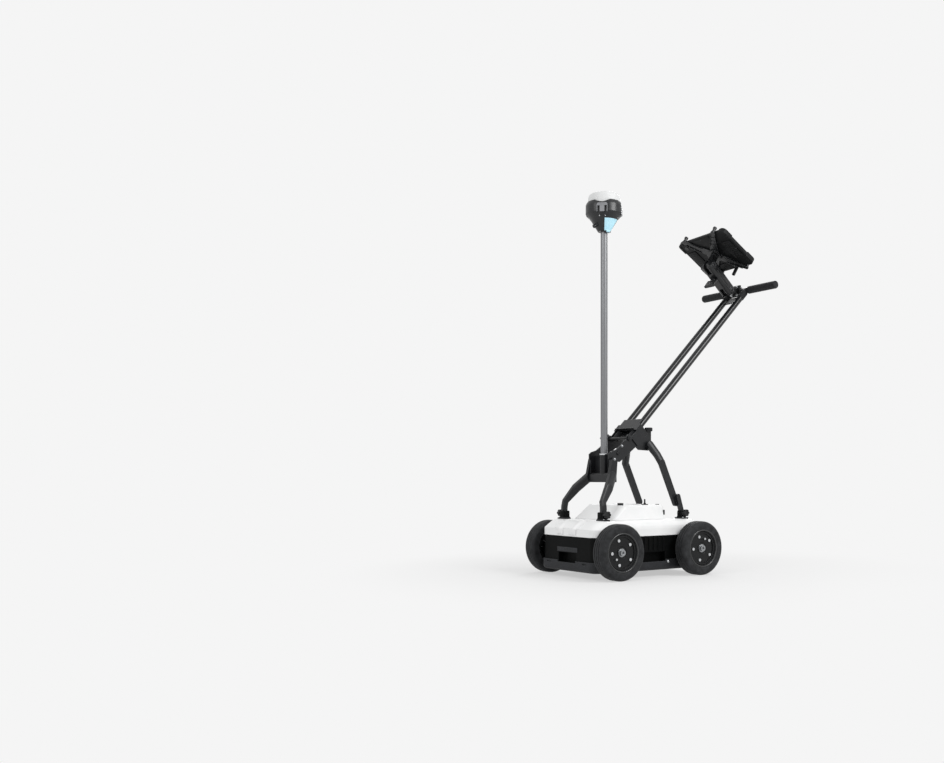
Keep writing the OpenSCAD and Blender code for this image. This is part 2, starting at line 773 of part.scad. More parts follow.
// Cross block between the yoke plates, with the pole's socket
module front_block() {
  shelf = pole_y - socket_d / 2 - 10;
  color(dark_coat) difference() {
    union() {
      side_plate(-block_w / 2, block_w)
        polygon([[shelf, block_low], [block_back, block_low], [block_back, socket_top - 2], [pole_y + 2, socket_top - 2],
                 [pole_y + 2, socket_z], [shelf + 6, socket_z], [shelf, socket_z - 6]]);
      translate([0, pole_y, socket_z - 5]) cylinder(d = socket_d, h = socket_top - socket_z + 5);
    }
    translate([0, pole_y, socket_z]) cylinder(d = pole_d + 2 * run_gap, h = socket_top - socket_z + 1);
  }
}

// Side plate of the yoke: hinge boss, rear upright and the bumper that the handle rests on
module yoke_plate() {
  neck = [66, 87];
  neck_top = hinge_z + 32;
  boss_r = 14;
  bumper_d = 27;
  bumper_h = 14;
  color(dark_coat) difference() {
    union() {
      side_plate(yoke_x, yoke_t) {
        polygon([
          [-112, block_low + 2], [-88, block_low + 2], [-82, socket_top - 25], [-66, socket_top - 26], [12, hinge_z - 32],
          [25, hinge_z - 43], [72, hinge_z - 45], [neck[1], hinge_z - 30], [neck[1], neck_top],
          [neck[0], neck_top], [neck[0], hinge_z + 22], [40, hinge_z + 10], [8, hinge_z + 4], [hinge_y, hinge_z - 4],
          [hinge_y - 13, hinge_z - 4], [-50, hinge_z - 13], [-62, hinge_z - 29], [-84, socket_top + 19],
          [-108, socket_top + 12], [-118, socket_top + 4], [-118, socket_top - 14], [-112, socket_top - 20]
        ]);
        translate([hinge_y, hinge_z]) circle(boss_r);
      }
      translate([yoke_x + yoke_t / 2, (neck[0] + neck[1]) / 2, neck_top - 4]) cylinder(d = bumper_d, h = bumper_h);
    }
    x_rod([yoke_x, hinge_y, hinge_z], hinge_d + 2 * run_gap, 6 * yoke_t);
  }
}

module pole_collar() {
  color(bright_steel) translate([0, pole_y, socket_top + seat_gap]) difference() {
    union() {
      cylinder(d = collar_d, h = collar_h);
      rotate(40) translate([socket_d / 2, 0, collar_h / 2]) rotate([0, 90, 0]) cylinder(d = collar_h, h = 12);
    }
    translate([0, 0, -1]) cylinder(d = pole_d + 2 * run_gap, h = collar_h + 2);
  }
}

// Hinge pin with its clamp knob on the right
module hinge_knob() {
  reach = cheek_x + cheek_t;
  color(black_plastic) {
    x_rod([0.5 - slot_gap, hinge_y, hinge_z], hinge_d, 2 * reach + 1 + 2 * slot_gap);
    translate([-reach - slot_gap, hinge_y, hinge_z]) rotate([0, -90, 0]) {
      cylinder(d = 22, h = 8);
      translate([0, 0, 7]) lobed_knob(40, 18, 7);
    }
  }
}

// Handle frame: local Z along the rails, local Y square to them and to the rear
module at_handle() {
  translate([0, hinge_y, hinge_z]) rotate([handle_angle - 90, 0, 0]) children();
}

module handle_rails() {
  tie = [2 * rail_x - rail_d + 4, 4, 36];
  tie_drop = 60;
  low_tie = [tie[0], tie[1], 48];
  color(dark_coat) at_handle() difference() {
    union() {
      for (s = [-1, 1]) translate([s * rail_x, rail_set, rail_low]) cylinder(d = rail_d, h = handle_len - rail_low);
      translate([0, rail_set, handle_len - tie_drop]) cube(tie, center = true);
      translate([0, rail_set, rail_low + 28]) cube(low_tie, center = true);
    }
    for (s = [-1, 1]) translate([s * rail_x, rail_set, rail_low - 1])
      cylinder(d = rail_d - 2 * rail_wall, h = handle_len - rail_low + 2);
    x_rod([0, rail_set, handle_len], rail_d + 2 * seat_gap, bar_len);
  }
}

// Folded bracket: web across the rails, cheeks beside them with eyes on the hinge pin
module hinge_bracket() {
  lip = 9;
  eye_wall = 4;
  wide = 2 * (cheek_x + cheek_t);
  narrow = 2 * rail_x + rail_d - 1;
  color(dark_coat) at_handle() difference() {
    union() {
      both_sides() side_plate(cheek_x, cheek_t) {
        polygon([[cheek_front, cheek_low], [cheek_back - 3, cheek_low], [cheek_back, cheek_low + 3],
                 [cheek_back, cheek_high - 3], [cheek_back - 3, cheek_high], [web_y, cheek_high], [web_y, web_low],
                 [cheek_front, web_low]]);
        circle(hinge_d / 2 + eye_wall);
      }
      translate([-narrow / 2, web_y, web_low]) cube([narrow, web_t, web_high - web_low]);
      translate([-wide / 2, web_y, web_low]) cube([wide, web_t, cheek_high - web_low]);
      translate([-narrow / 2, web_y - lip, web_low]) cube([narrow, lip + 1, web_t]);
    }
    x_rod([0, 0, 0], hinge_d + 2 * run_gap, 2 * wide);
  }
}

module handle_bar() {
  cap = 4;
  color(dark_coat) at_handle() difference() {
    x_rod([0, rail_set, handle_len], rail_d, bar_len - 2 * cap);
    x_rod([0, rail_set, handle_len], rail_d - 2 * rail_wall, bar_len);
  }
}

module grips() {
  ring_n = 6;
  color(black_rubber) at_handle() both_sides() translate([bar_len / 2, rail_set, handle_len]) rotate([0, -90, 0])
    rotate_extrude() difference() {
      polygon(concat([[0, 0]], [[grip_d / 2 - 4, 0], [grip_d / 2 - 1.2, 1.2], [grip_d / 2, 4]],
        [[grip_d / 2, grip_len - 3], [grip_d / 2 - 3, grip_len], [rail_d / 2 + seat_gap, grip_len]],
        [[rail_d / 2 + seat_gap, 3.8], [0, 3.8]]));
      for (i = [1:ring_n]) translate([grip_d / 2 - 0.8, i * grip_len / (ring_n + 1)]) square([2, 2]);
    }
}

// Bar frame: on the handle bar's axis, level with the cart
module at_bar() {
  translate([0, bar_y, bar_z]) children();
}

module u_bolts() {
  r = rail_d / 2 + seat_gap + u_bolt_d / 2;
  leg = r + clamp_t + 8;
  color(bright_steel) at_bar() for (s = [-1, 1]) translate([s * u_bolt_x, 0, 0]) {
    rotate([0, 90, 0]) rotate([0, 0, 0]) rotate_extrude(angle = 180) translate([r, 0]) circle(d = u_bolt_d, $fn = 24);
    for (t = [-1, 1]) translate([0, 0, t * r]) rotate([90, 0, 0]) {
      cylinder(d = u_bolt_d, h = leg);
      translate([0, 0, clamp_y + clamp_t]) cylinder(d = 11, h = 5, $fn = 6);
    }
  }
}
clamp_t = 8;
clamp_y = rail_d / 2 + seat_gap;

// Clamp plate on the handle bar with the eye of the arm's lower pivot
module arm_base() {
  hole_z = rail_d / 2 + seat_gap + u_bolt_d / 2;
  size = [2 * u_bolt_x + 22, clamp_t, 2 * hole_z + 14];
  stem = arm_reach - clamp_y - clamp_t;
  color(black_plastic) at_bar() difference() {
    union() {
      translate([0, -clamp_y - clamp_t / 2, 0]) cube(size, center = true);
      x_rod([0, -arm_reach, 0], 2 * eye_r, eye_w);
      translate([0, -clamp_y - clamp_t - stem / 2 + 1, 0]) cube([eye_w, stem + 2, 2 * eye_r - 8], center = true);
    }
    for (sx = [-1, 1], sz = [-1, 1]) translate([sx * u_bolt_x, 0, sz * hole_z]) rotate([90, 0, 0])
      cylinder(d = u_bolt_d + 2 * seat_gap, h = 2 * arm_reach);
    x_rod([0, -arm_reach, 0], pivot_d + 2 * run_gap, 4 * eye_w);
  }
}

// Arm frame: on the lower pivot, local -Y along the arm, local Z above it
module at_arm() {
  translate([0, arm_y, arm_z]) rotate([-arm_angle, 0, 0]) children();
}

// Rounded arm, forked at both ends, with its two pivot pins
module tablet_arm() {
  long = arm_len + 2 * fork_end;
  slot = eye_w + 2 * slot_gap;
  color(black_plastic) at_arm() {
    difference() {
      intersection() {
        translate([0, -arm_len / 2, -arm_h]) linear_extrude(2 * arm_h) round_rect(arm_w, long, 18);
        side_plate(-arm_w, 2 * arm_w) translate([-arm_len / 2, 0]) round_rect(long, arm_h, 16);
        translate([0, long, 0]) rotate([90, 0, 0]) linear_extrude(3 * long) round_rect(arm_w, arm_h, 12);
      }
      translate([-slot / 2, -fork_deep, -arm_h]) cube([slot, 2 * fork_deep, 2 * arm_h]);
      translate([-slot / 2, -arm_len - fork_deep, -arm_h]) cube([slot, 2 * fork_deep, 2 * arm_h]);
      translate([0, -knob_share * arm_len, -arm_h]) cylinder(d = stud_d + 2 * run_gap, h = arm_h);
    }
    for (y = [0, -arm_len]) x_rod([0, y, 0], pivot_d, arm_w - 8);
  }
}

// Wing knob that locks both pivots of the arm
module arm_knob() {
  wing = [44, 12, 30];
  top = -arm_h / 2 - slot_gap;
  color(black_plastic) at_arm() translate([0, -knob_share * arm_len, top]) {
    translate([0, 0, -4]) cylinder(d = stud_d, h = 16);
    translate([0, 0, -14]) cylinder(d = 20, h = 14);
    translate([0, 0, -14 - wing[2] / 2 + 4]) cube(wing, center = true);
    for (s = [-1, 1]) translate([s * wing[0] / 2, 0, -10 - wing[2]]) cylinder(d = wing[1], h = wing[2]);
  }
}

// Tablet frame: on the tablet's middle, local Z out of the screen, local Y towards its lower edge
module at_tablet() {
  translate([0, tablet_y, tablet_z]) rotate([-screen_angle, 0, 0]) children();
}

// The same frame, turned with the screen
module at_screen() {
  at_tablet() rotate([0, 0, screen_roll]) children();
}

// Outline behind the tablet: two crossed arms that narrow towards the posts
module cradle_outline() {
  reach = norm([post_x, post_y]);
  lean = atan2(post_y, post_x);
  waist = 20;
  tip = post_d / 2 + 2.5;
  circle(d = round_base_d);
  for (a = [lean, -lean]) rotate(a) {
    polygon([[-reach, -tip], [0, -waist], [reach, -tip], [reach, tip], [0, waist], [-reach, tip]]);
    for (s = [-1, 1]) translate([s * reach, 0]) circle(tip);
  }
}

// Post with a head that holds the tablet's edge, from the plate's back
module cradle_post() {
  cylinder(d = post_d, h = tablet_t + plate_t + 6);
  translate([0, 0, tablet_t + plate_t + 1.5]) cylinder(d = post_d + 3, h = 6);
}

// Upper half of the cradle with its two posts, round base and pivot eye
module cradle_plate() {
  stem = cradle_back + tablet_t / 2 + cradle_reach;
  pivot_z = cradle_back - stem;
  color(black_plastic) difference() {
    union() {
      at_screen() {
        translate([0, 0, cradle_back]) linear_extrude(plate_t) difference() {
          cradle_outline();
          translate([0, jaw_root + tablet_h]) square([2 * tablet_w, 2 * tablet_h], center = true);
        }
        for (s = [-1, 1]) translate([s * post_x, -post_y, cradle_back]) cradle_post();
        translate([0, 0, cradle_back - 6]) cylinder(d = round_base_d, h = 7);
      }
      at_tablet() {
        x_rod([0, 0, pivot_z], 2 * eye_r, eye_w);
        translate([0, 0, cradle_back - stem / 2 - 1]) cube([eye_w, 2 * eye_r - 4, stem - 2], center = true);
      }
    }
    at_tablet() x_rod([0, 0, pivot_z], pivot_d + 2 * run_gap, 4 * eye_w);
    at_screen() {
      translate([-tongue_w / 2 - slot_gap, jaw_root - tongue_l - slot_gap, cradle_back - slot_gap])
        cube([tongue_w + 2 * slot_gap, 2 * tongue_l, tongue_t + 2 * slot_gap]);
      translate([-tablet_w, jaw_root, cradle_back - slot_gap]) cube([2 * tablet_w, tablet_h, 2 * plate_t]);
    }
  }
}
cradle_back = -tablet_t / 2 - slot_gap - plate_t;
jaw_root = 12;
tongue_l = 34;
tongue_t = 3;
tongue_w = 26;

// Sprung lower half of the cradle: guide tongue, two posts and two pull tabs
module cradle_jaw() {
  tab = 34;
  tab_y = post_y - 12;
  tab_d = 14;
  finger = 12;
  top = jaw_root + slot_gap;
  color(black_plastic) at_screen() translate([0, 0, cradle_back]) {
    linear_extrude(plate_t) {
      difference() {
        cradle_outline();
        translate([0, top - tablet_h]) square([2 * tablet_w, 2 * tablet_h], center = true);
      }
      for (s = [-1, 1]) translate([s * tab_x - finger / 2, jaw_root + 20]) square([finger, tab_y - jaw_root - 20]);
    }
    translate([-tongue_w / 2, top - tongue_l, 0]) cube([tongue_w, tongue_l + 4, tongue_t]);
    for (s = [-1, 1]) {
      translate([s * post_x, post_y, 0]) cradle_post();
      translate([s * tab_x, tab_y, -tab]) cylinder(d = tab_d, h = tab + plate_t);
    }
  }
}

module tablet_case() {
  r = 18;
  edge = 5;
  pad = [52, 46];
  color(black_plastic) at_screen() difference() {
    union() {
      hull() for (sx = [-1, 1], sy = [-1, 1])
        translate([sx * (tablet_w / 2 - r), sy * (tablet_h / 2 - r), 0]) rotate_extrude($fn = 32)
          polygon(concat([[0, -tablet_t / 2]], arc([r - edge, edge - tablet_t / 2], edge, -90, 0, 4),
            arc([r - edge, tablet_t / 2 - edge], edge, 0, 90, 4), [[0, tablet_t / 2]]));
    }
    translate([0, 0, tablet_t / 2 - glass_t - seat_gap]) linear_extrude(tablet_t)
      translate([0, (bezel - chin) / 2]) round_rect(glass_w + 2 * seat_gap, glass_h + 2 * seat_gap, 6);
    for (i = [-1:1]) translate([i * key_x, key_y, tablet_t / 2 - key_deep]) linear_extrude(tablet_t)
      round_rect(key_w + 2 * slot_gap, key_h + 2 * slot_gap, key_h / 2);
  }
}
glass_w = tablet_w - 2 * bezel;
glass_h = tablet_h - bezel - chin;
key_y = tablet_h / 2 - chin / 2 - 1;
key_deep = 3;

module tablet_glass() {
  color("#15181b") at_screen() translate([0, (bezel - chin) / 2, tablet_t / 2 - glass_t]) linear_extrude(glass_t)
    round_rect(glass_w, glass_h, 6 - seat_gap);
}

// Front key: i = -1 left, 0 home, 1 right
module tablet_key(i) {
  color(grey_shell) at_screen() translate([i * key_x, key_y, tablet_t / 2 - key_deep + key_travel + seat_gap])
    linear_extrude(key_deep) round_rect(key_w, key_h, key_h / 2 - 0.01);
}

module receiver_pole() {
  top = head_z - slot_gap;
  color("#85878a") translate([0, pole_y, 0]) {
    difference() {
      translate([0, 0, socket_z + seat_gap]) cylinder(d = pole_d, h = top - socket_z - seat_gap);
      translate([0, 0, socket_z]) cylinder(d = pole_d - 2 * pole_wall, h = top - socket_z - 20);
    }
    translate([0, 0, top - 1]) cylinder(d = pole_stud_d, h = 15);
  }
}

// Lobed body on a taper, with a valley in its crown over each flat
module receiver_body() {
  flat_r = head_r - flat_set;
  slot = [16, 7, 26];
  slot_y = 13;
  slot_z = head_z + 68;
  valley_r = 44;
  lean = atan2(kink_r - head_foot_r, kink_h);
  port_r = (kink_r + head_foot_r) / 2 - 4;
  lug_w = 4;
  lug_y = knuckle_w / 2 + slot_gap + lug_w / 2;
  color(grey_shell) translate([0, pole_y, 0]) {
    difference() {
      union() {
        difference() {
          rotate_extrude($fn = 72) polygon([
            [0, head_z], [head_foot_r - 1.5, head_z], [head_foot_r, head_z + 2], [kink_r, head_z + kink_h],
            [head_r, head_z + taper_h], [head_r, dome_z - 4], [head_r - 3, dome_z + 5], [head_r - 6, dome_z + crown_h],
            [dome_r + seat_gap, dome_z + crown_h], [dome_r + seat_gap, dome_z], [0, dome_z]
          ]);
          for (i = [0:3]) rotate(45 + 90 * i) {
            translate([flat_r, -head_r, head_z + flat_low]) cube([40, head_d, head_h]);
            translate([dome_r - 10, 0, dome_z + valley_r + seat_gap]) rotate([0, 90, 0]) cylinder(r = valley_r, h = 40);
          }
        }
        translate([0, -port_r, head_z + kink_h / 2]) rotate([90 + lean, 0, 0]) cylinder(d = 14, h = 17);
      }
      translate([0, 0, head_z - 1]) cylinder(d = pole_stud_d + 2 * run_gap, h = 18);
      for (i = [0:3], s = [-1, 1]) rotate(45 + 90 * i)
        translate([flat_r, s * slot_y, slot_z]) cube(slot, center = true);
      rotate(-door_sweep / 2 - 1) rotate_extrude(angle = door_sweep + 2) receiver_door_outline(slot_gap, -2);
    }
    for (s = [-1, 1]) translate([0, s * lug_y, 0]) {
      translate([13, -lug_w / 2, door_pin_z - knuckle_d / 2]) cube([door_pin_x - 13, lug_w, knuckle_d]);
      translate([door_pin_x, 0, door_pin_z]) rotate([90, 0, 0]) cylinder(d = knuckle_d, h = lug_w, center = true);
    }
    translate([door_pin_x, 0, door_pin_z]) rotate([90, 0, 0])
      cylinder(d = door_pin_d, h = 2 * lug_y, center = true);
  }
}

// Section of the door that lies on the receiver's taper, down to the level low
module receiver_door_outline(grow, low) {
  slope = (kink_r - head_foot_r) / (kink_h - 2);
  r0 = head_foot_r + slope * (low - 2);
  r1 = head_foot_r + slope * (door_high - 2);
  polygon([[r0 - door_t - grow, head_z + low], [r0 + 2, head_z + low],
           [r1 + 2, head_z + door_high + grow], [r1 - door_t - grow, head_z + door_high + grow]]);
}

module receiver_door() {
  color(pale_blue) translate([0, pole_y, 0]) difference() {
    union() {
      rotate(-door_sweep / 2) rotate_extrude(angle = door_sweep) receiver_door_outline(0, door_low);
      translate([door_pin_x, 0, door_pin_z]) rotate([90, 0, 0]) cylinder(d = knuckle_d, h = knuckle_w, center = true);
      translate([door_pin_x, -knuckle_w / 2, door_pin_z]) cube([4, knuckle_w, 4.5]);
    }
    translate([door_pin_x, 0, door_pin_z]) rotate([90, 0, 0])
      cylinder(d = door_pin_d + 2 * run_gap, h = 2 * knuckle_w, center = true);
  }
}

module receiver_dome() {
  top = head_z + head_h;
  color(white_shell) translate([0, pole_y, 0]) rotate_extrude($fn = 72)
    polygon(concat([[0, dome_z], [dome_r, dome_z]], arc([dome_r - dome_edge, top - dome_edge], dome_edge, 0, 80, 8), [[0, top]]));
}

place() at_wheel(1, -1) tyre();  // tyre_fl
place() at_wheel(-1, -1) tyre();  // tyre_fr
place() at_wheel(1, 1) tyre();  // tyre_rl
place() at_wheel(-1, 1) tyre();  // tyre_rr
place() at_wheel(1, -1) rotate(wheel_turn(-1)) rim();  // rim_fl
place() at_wheel(-1, -1) rotate(wheel_turn(-1)) rim();  // rim_fr
place() at_wheel(1, 1) rotate(wheel_turn(1)) rim();  // rim_rl
place() at_wheel(-1, 1) rotate(wheel_turn(1)) rim();  // rim_rr
place() at_wheel(1, -1) rotate(wheel_turn(-1)) rim_bolts();  // rim_bolts_fl
place() at_wheel(-1, -1) rotate(wheel_turn(-1)) rim_bolts();  // rim_bolts_fr
place() at_wheel(1, 1) rotate(wheel_turn(1)) rim_bolts();  // rim_bolts_rl
place() at_wheel(-1, 1) rotate(wheel_turn(1)) rim_bolts();  // rim_bolts_rr
place() axle_bolts();
place() tub();
place() wear_tray();
place() top_cover();
place() electronics_housing();
place() battery_door();
place() door_latch();
place() power_button();
place() connector_cap();
place() stub_antenna();
place() shield_box();
place() antenna_boards();
place() main_board();
place() battery_pack();
place() wheel_sensor();
place() foot_brackets();
place() foot_knob(1, -1);  // foot_knob_fl
place() foot_knob(-1, -1);  // foot_knob_fr
place() foot_knob(1, 1);  // foot_knob_rl
place() foot_knob(-1, 1);  // foot_knob_rr
place() front_leg();  // front_leg_l
place() mirror([1, 0, 0]) front_leg();  // front_leg_r
place() rear_leg();  // rear_leg_l
place() mirror([1, 0, 0]) rear_leg();  // rear_leg_r
place() front_block();
place() yoke_plate();  // yoke_plate_l
place() mirror([1, 0, 0]) yoke_plate();  // yoke_plate_r
place() pole_collar();
place() hinge_knob();
place() handle_rails();
place() hinge_bracket();
place() handle_bar();
place() grips();
place() u_bolts();
place() arm_base();
place() tablet_arm();
place() arm_knob();
place() cradle_plate();
place() cradle_jaw();
place() tablet_case();
place() tablet_glass();
place() tablet_key(-1);  // tablet_key_l
place() tablet_key(0);  // tablet_key_home
place() tablet_key(1);  // tablet_key_r
place() receiver_pole();
place() receiver_body();
place() receiver_dome();
place() receiver_door();
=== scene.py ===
import bpy
import bmesh
import json
import math
from mathutils import Matrix, Vector


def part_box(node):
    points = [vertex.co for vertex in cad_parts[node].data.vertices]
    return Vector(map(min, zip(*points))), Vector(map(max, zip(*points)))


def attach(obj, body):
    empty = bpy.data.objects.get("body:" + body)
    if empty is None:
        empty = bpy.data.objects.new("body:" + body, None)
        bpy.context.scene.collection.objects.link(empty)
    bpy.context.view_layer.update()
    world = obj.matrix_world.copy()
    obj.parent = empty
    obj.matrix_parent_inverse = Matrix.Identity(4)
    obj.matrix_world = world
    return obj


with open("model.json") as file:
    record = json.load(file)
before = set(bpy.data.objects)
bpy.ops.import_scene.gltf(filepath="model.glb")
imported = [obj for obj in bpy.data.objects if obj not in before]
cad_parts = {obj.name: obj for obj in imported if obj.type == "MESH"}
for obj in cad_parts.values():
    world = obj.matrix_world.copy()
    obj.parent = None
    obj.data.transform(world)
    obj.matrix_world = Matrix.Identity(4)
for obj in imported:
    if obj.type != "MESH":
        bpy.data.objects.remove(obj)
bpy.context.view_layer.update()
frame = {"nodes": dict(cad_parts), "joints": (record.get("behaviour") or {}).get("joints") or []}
nodes = frame["nodes"]
jointPlaces = {joint["name"]: joint["pos_m"] for joint in frame["joints"] if "pos_m" in joint}
print("frame loaded:", len(nodes), "nodes")

# the cart's own middle, between the axles, lies this far in front of the outline's middle, in mm
axlesY = [jointPlaces[name][1] for name in ("wheel_fl_spin", "wheel_rl_spin")]
midY = -1000 * sum(axlesY) / len(axlesY)


def spot(x, y, z):  # cart millimetres to the frame's metres
    return Vector((x / 1000, (y - midY) / 1000, z / 1000))


def jointSpot(name):  # a joint's place in cart millimetres
    x, y, z = jointPlaces[name]
    return 1000 * x, 1000 * y + midY, 1000 * z


# camera, at the photo's own viewing angle
photoView = {"lens": 37.48, "sensor": 36, "shift": (-0.0932, 0.1006), "place": (2.8732, -2.5472, 0.3663),
             "turn": 54.10}


def setCamera(look):
    data = bpy.data.cameras.new("photoCamera")
    data.lens = look["lens"]
    data.sensor_width = look["sensor"]
    data.shift_x, data.shift_y = look["shift"]
    camera = bpy.data.objects.new("photoCamera", data)
    camera.location = look["place"]
    camera.rotation_euler = (math.pi / 2, 0, math.radians(look["turn"]))
    bpy.context.scene.collection.objects.link(camera)
    bpy.context.scene.camera = camera


setCamera(photoView)
bpy.context.scene.view_settings.view_transform = "Standard"
print("camera set")


def linear(code):  # sRGB hex to linear colour
    parts = [int(code[i:i + 2], 16) / 255 for i in (1, 3, 5)]
    return tuple(c / 12.92 if c <= 0.04045 else ((c + 0.055) / 1.055) ** 2.4 for c in parts) + (1,)


def perMetre(size):  # pattern scale from a real size in mm
    return 1000 / size


def addNode(mat, kind, settings=None, links=None):
    node = mat.node_tree.nodes.new(kind)
    for name, value in (settings or {}).items():
        if isinstance(name, int) or name in node.inputs:
            node.inputs[name].default_value = value
        else:
            setattr(node, name, value)
    for name, source in (links or {}).items():
        mat.node_tree.links.new(source, node.inputs[name])
    return node


# every finish: two tones in patches that also dull it, a grain that lifts it, worn and slightly round edges
finishShape = {"patches": {"Detail": 5, "Roughness": 0.62}, "grain": {"Detail": 3, "Roughness": 0.55},
               "toneAt": (0.34, 0.68), "dullAt": (0.3, 0.7), "edgeSamples": 6, "wornAt": 0.8}


def makeFinish(name, look):
    mat = bpy.data.materials.new(name)
    mat.use_nodes = True
    shader = mat.node_tree.nodes["Principled BSDF"]
    for socket, value in look.get("fixed", {}).items():
        shader.inputs[socket].default_value = value
    place = addNode(mat, "ShaderNodeTexCoord").outputs["Object"]
    if "run" in look:  # drawn or brushed stock: the grain is stretched along the run
        place = addNode(mat, "ShaderNodeMapping", {"Rotation": look["run"][0], "Scale": look["run"][1]},
                        {"Vector": place}).outputs["Vector"]
    patches = addNode(mat, "ShaderNodeTexNoise",
                      dict(finishShape["patches"], Scale=perMetre(look["patchMm"])), {"Vector": place})
    grain = addNode(mat, "ShaderNodeTexNoise",
                    dict(finishShape["grain"], Scale=perMetre(look["grainMm"])), {"Vector": place})
    tone = addNode(mat, "ShaderNodeValToRGB", None, {"Fac": patches.outputs["Fac"]})
    tones = zip(tone.color_ramp.elements, finishShape["toneAt"], (look["low"], look["high"]))
    for stop, along, code in tones:
        stop.position, stop.color = along, linear(code)
    soft = addNode(mat, "ShaderNodeBevel",
                   {"samples": finishShape["edgeSamples"], "Radius": look["edgeMm"] / 1000})
    facing = addNode(mat, "ShaderNodeNewGeometry")
    bend = addNode(mat, "ShaderNodeVectorMath", {"operation": "DOT_PRODUCT"},
                   {0: soft.outputs["Normal"], 1: facing.outputs["Normal"]})
    edge = addNode(mat, "ShaderNodeMapRange",
                   {"From Min": 1.0, "From Max": finishShape["wornAt"],
                    "To Min": 0.0, "To Max": look["wear"]}, {"Value": bend.outputs["Value"]})
    rubbed = addNode(mat, "ShaderNodeMath", {"operation": "MULTIPLY", "use_clamp": True},
                     {0: edge.outputs["Result"], 1: grain.outputs["Fac"]})
    colour = addNode(mat, "ShaderNodeMix", {"data_type": "RGBA", 7: linear(look["worn"])},
                     {0: rubbed.outputs["Value"], 6: tone.outputs["Color"]})
    (dullFrom, dullTo), (roughLow, roughHigh) = finishShape["dullAt"], look["rough"]
    dull = addNode(mat, "ShaderNodeMapRange",
                   {"From Min": dullFrom, "From Max": dullTo, "To Min": roughLow, "To Max": roughHigh},
                   {"Value": patches.outputs["Fac"]})
    lift = addNode(mat, "ShaderNodeBump", {"Strength": look["lift"], "Distance": look["deepMm"] / 1000},
                   {"Height": grain.outputs["Fac"], "Normal": soft.outputs["Normal"]})
    mat.node_tree.links.new(colour.outputs[2], shader.inputs["Base Color"])
    mat.node_tree.links.new(dull.outputs["Result"], shader.inputs["Roughness"])
    mat.node_tree.links.new(lift.outputs["Normal"], shader.inputs["Normal"])
    return mat


# carbon black tyre rubber, pressed in a mould: dull, a bloom of paler grey, fine pebble
tyreRubber = makeFinish("vulcanisedTyreRubber", {
    "low": "#191a1b", "high": "#313234", "worn": "#46474a", "wear": 0.9, "patchMm": 20, "grainMm": 3.2,
    "rough": (0.55, 0.72), "lift": 0.5, "deepMm": 0.5, "edgeMm": 1.5,
    "fixed": {"IOR": 1.52, "Specular IOR Level": 0.16, "Sheen Weight": 0.05}})
# glass filled nylon rim halves, moulded: satin black that catches a broad light
rimNylon = makeFinish("glassFilledNylonRim", {
    "low": "#0e0f10", "high": "#151617", "worn": "#3c3d3f", "wear": 0.6, "patchMm": 14, "grainMm": 2.5,
    "rough": (0.24, 0.36), "lift": 0.2, "deepMm": 0.2, "edgeMm": 0.8,
    "fixed": {"IOR": 1.53, "Specular IOR Level": 0.2}})
# smooth rubber of the tyre's bead, polished by the mould: a bright line where it faces up to the light
beadRubber = makeFinish("polishedBeadRubber", {
    "low": "#141516", "high": "#1c1d1e", "worn": "#4a4b4d", "wear": 0.3, "patchMm": 14, "grainMm": 2.5,
    "rough": (0.2, 0.28), "lift": 0.05, "deepMm": 0.1, "edgeMm": 0.4,
    "fixed": {"IOR": 1.53, "Specular IOR Level": 0.6}})
# plain turned steel of the axle bolts, oiled: darker than the plated fasteners
oiledSteel = makeFinish("oiledTurnedSteel", {
    "low": "#8a8c8e", "high": "#a2a4a6", "worn": "#d0d2d3", "wear": 0.7, "patchMm": 8, "grainMm": 1.6,
    "rough": (0.26, 0.4), "lift": 0.2, "deepMm": 0.1, "edgeMm": 0.6, "fixed": {"Metallic": 1.0}})
# bright zinc on steel fasteners: hard small highlights, faint yellow grey cast
zincSteel = makeFinish("brightZincSteel", {
    "low": "#b9bbbd", "high": "#d2d4d5", "worn": "#ececec", "wear": 0.5, "patchMm": 6, "grainMm": 1.5,
    "rough": (0.18, 0.32), "lift": 0.15, "deepMm": 0.1, "edgeMm": 0.6, "fixed": {"Metallic": 1.0}})
# acetal and nylon small parts, moulded with a spark texture: black, slightly glossy
mouldedNylon = makeFinish("sparkTexturedNylon", {
    "low": "#101112", "high": "#191a1c", "worn": "#38393c", "wear": 0.8, "patchMm": 18, "grainMm": 2.2,
    "rough": (0.32, 0.46), "lift": 0.35, "deepMm": 0.3, "edgeMm": 1.4,
    "fixed": {"IOR": 1.5, "Specular IOR Level": 0.35}})
# rotationally moulded polyethylene tub: near black, waxy, drawn coarser than its real grain to show
tubPolyethylene = makeFinish("mouldedBlackPolyethylene", {
    "low": "#070808", "high": "#0c0d0d", "worn": "#222325", "wear": 0.8, "patchMm": 40, "grainMm": 3.5,
    "rough": (0.42, 0.58), "lift": 0.4, "deepMm": 0.5, "edgeMm": 2.0,
    "fixed": {"IOR": 1.5, "Specular IOR Level": 0.06}})
# high density polyethylene wear tray: grey, scuffed by the ground it slides over
trayPolyethylene = makeFinish("scuffedGreyPolyethylene", {
    "low": "#232426", "high": "#303134", "worn": "#57585b", "wear": 1.1, "patchMm": 30, "grainMm": 4.0,
    "rough": (0.45, 0.66), "lift": 0.5, "deepMm": 0.5, "edgeMm": 2.5,
    "fixed": {"IOR": 1.5, "Specular IOR Level": 0.2}})
# white ABS cover, vacuum formed: clean, soft gloss, hardly any grain
whiteAbs = makeFinish("vacuumFormedWhiteAbs", {
    "low": "#e9eaea", "high": "#efefef", "worn": "#f4f4f4", "wear": 0.4, "patchMm": 60, "grainMm": 5.0,
    "rough": (0.3, 0.4), "lift": 0.1, "deepMm": 0.2, "edgeMm": 3.0,
    "fixed": {"IOR": 1.52, "Specular IOR Level": 0.3}})
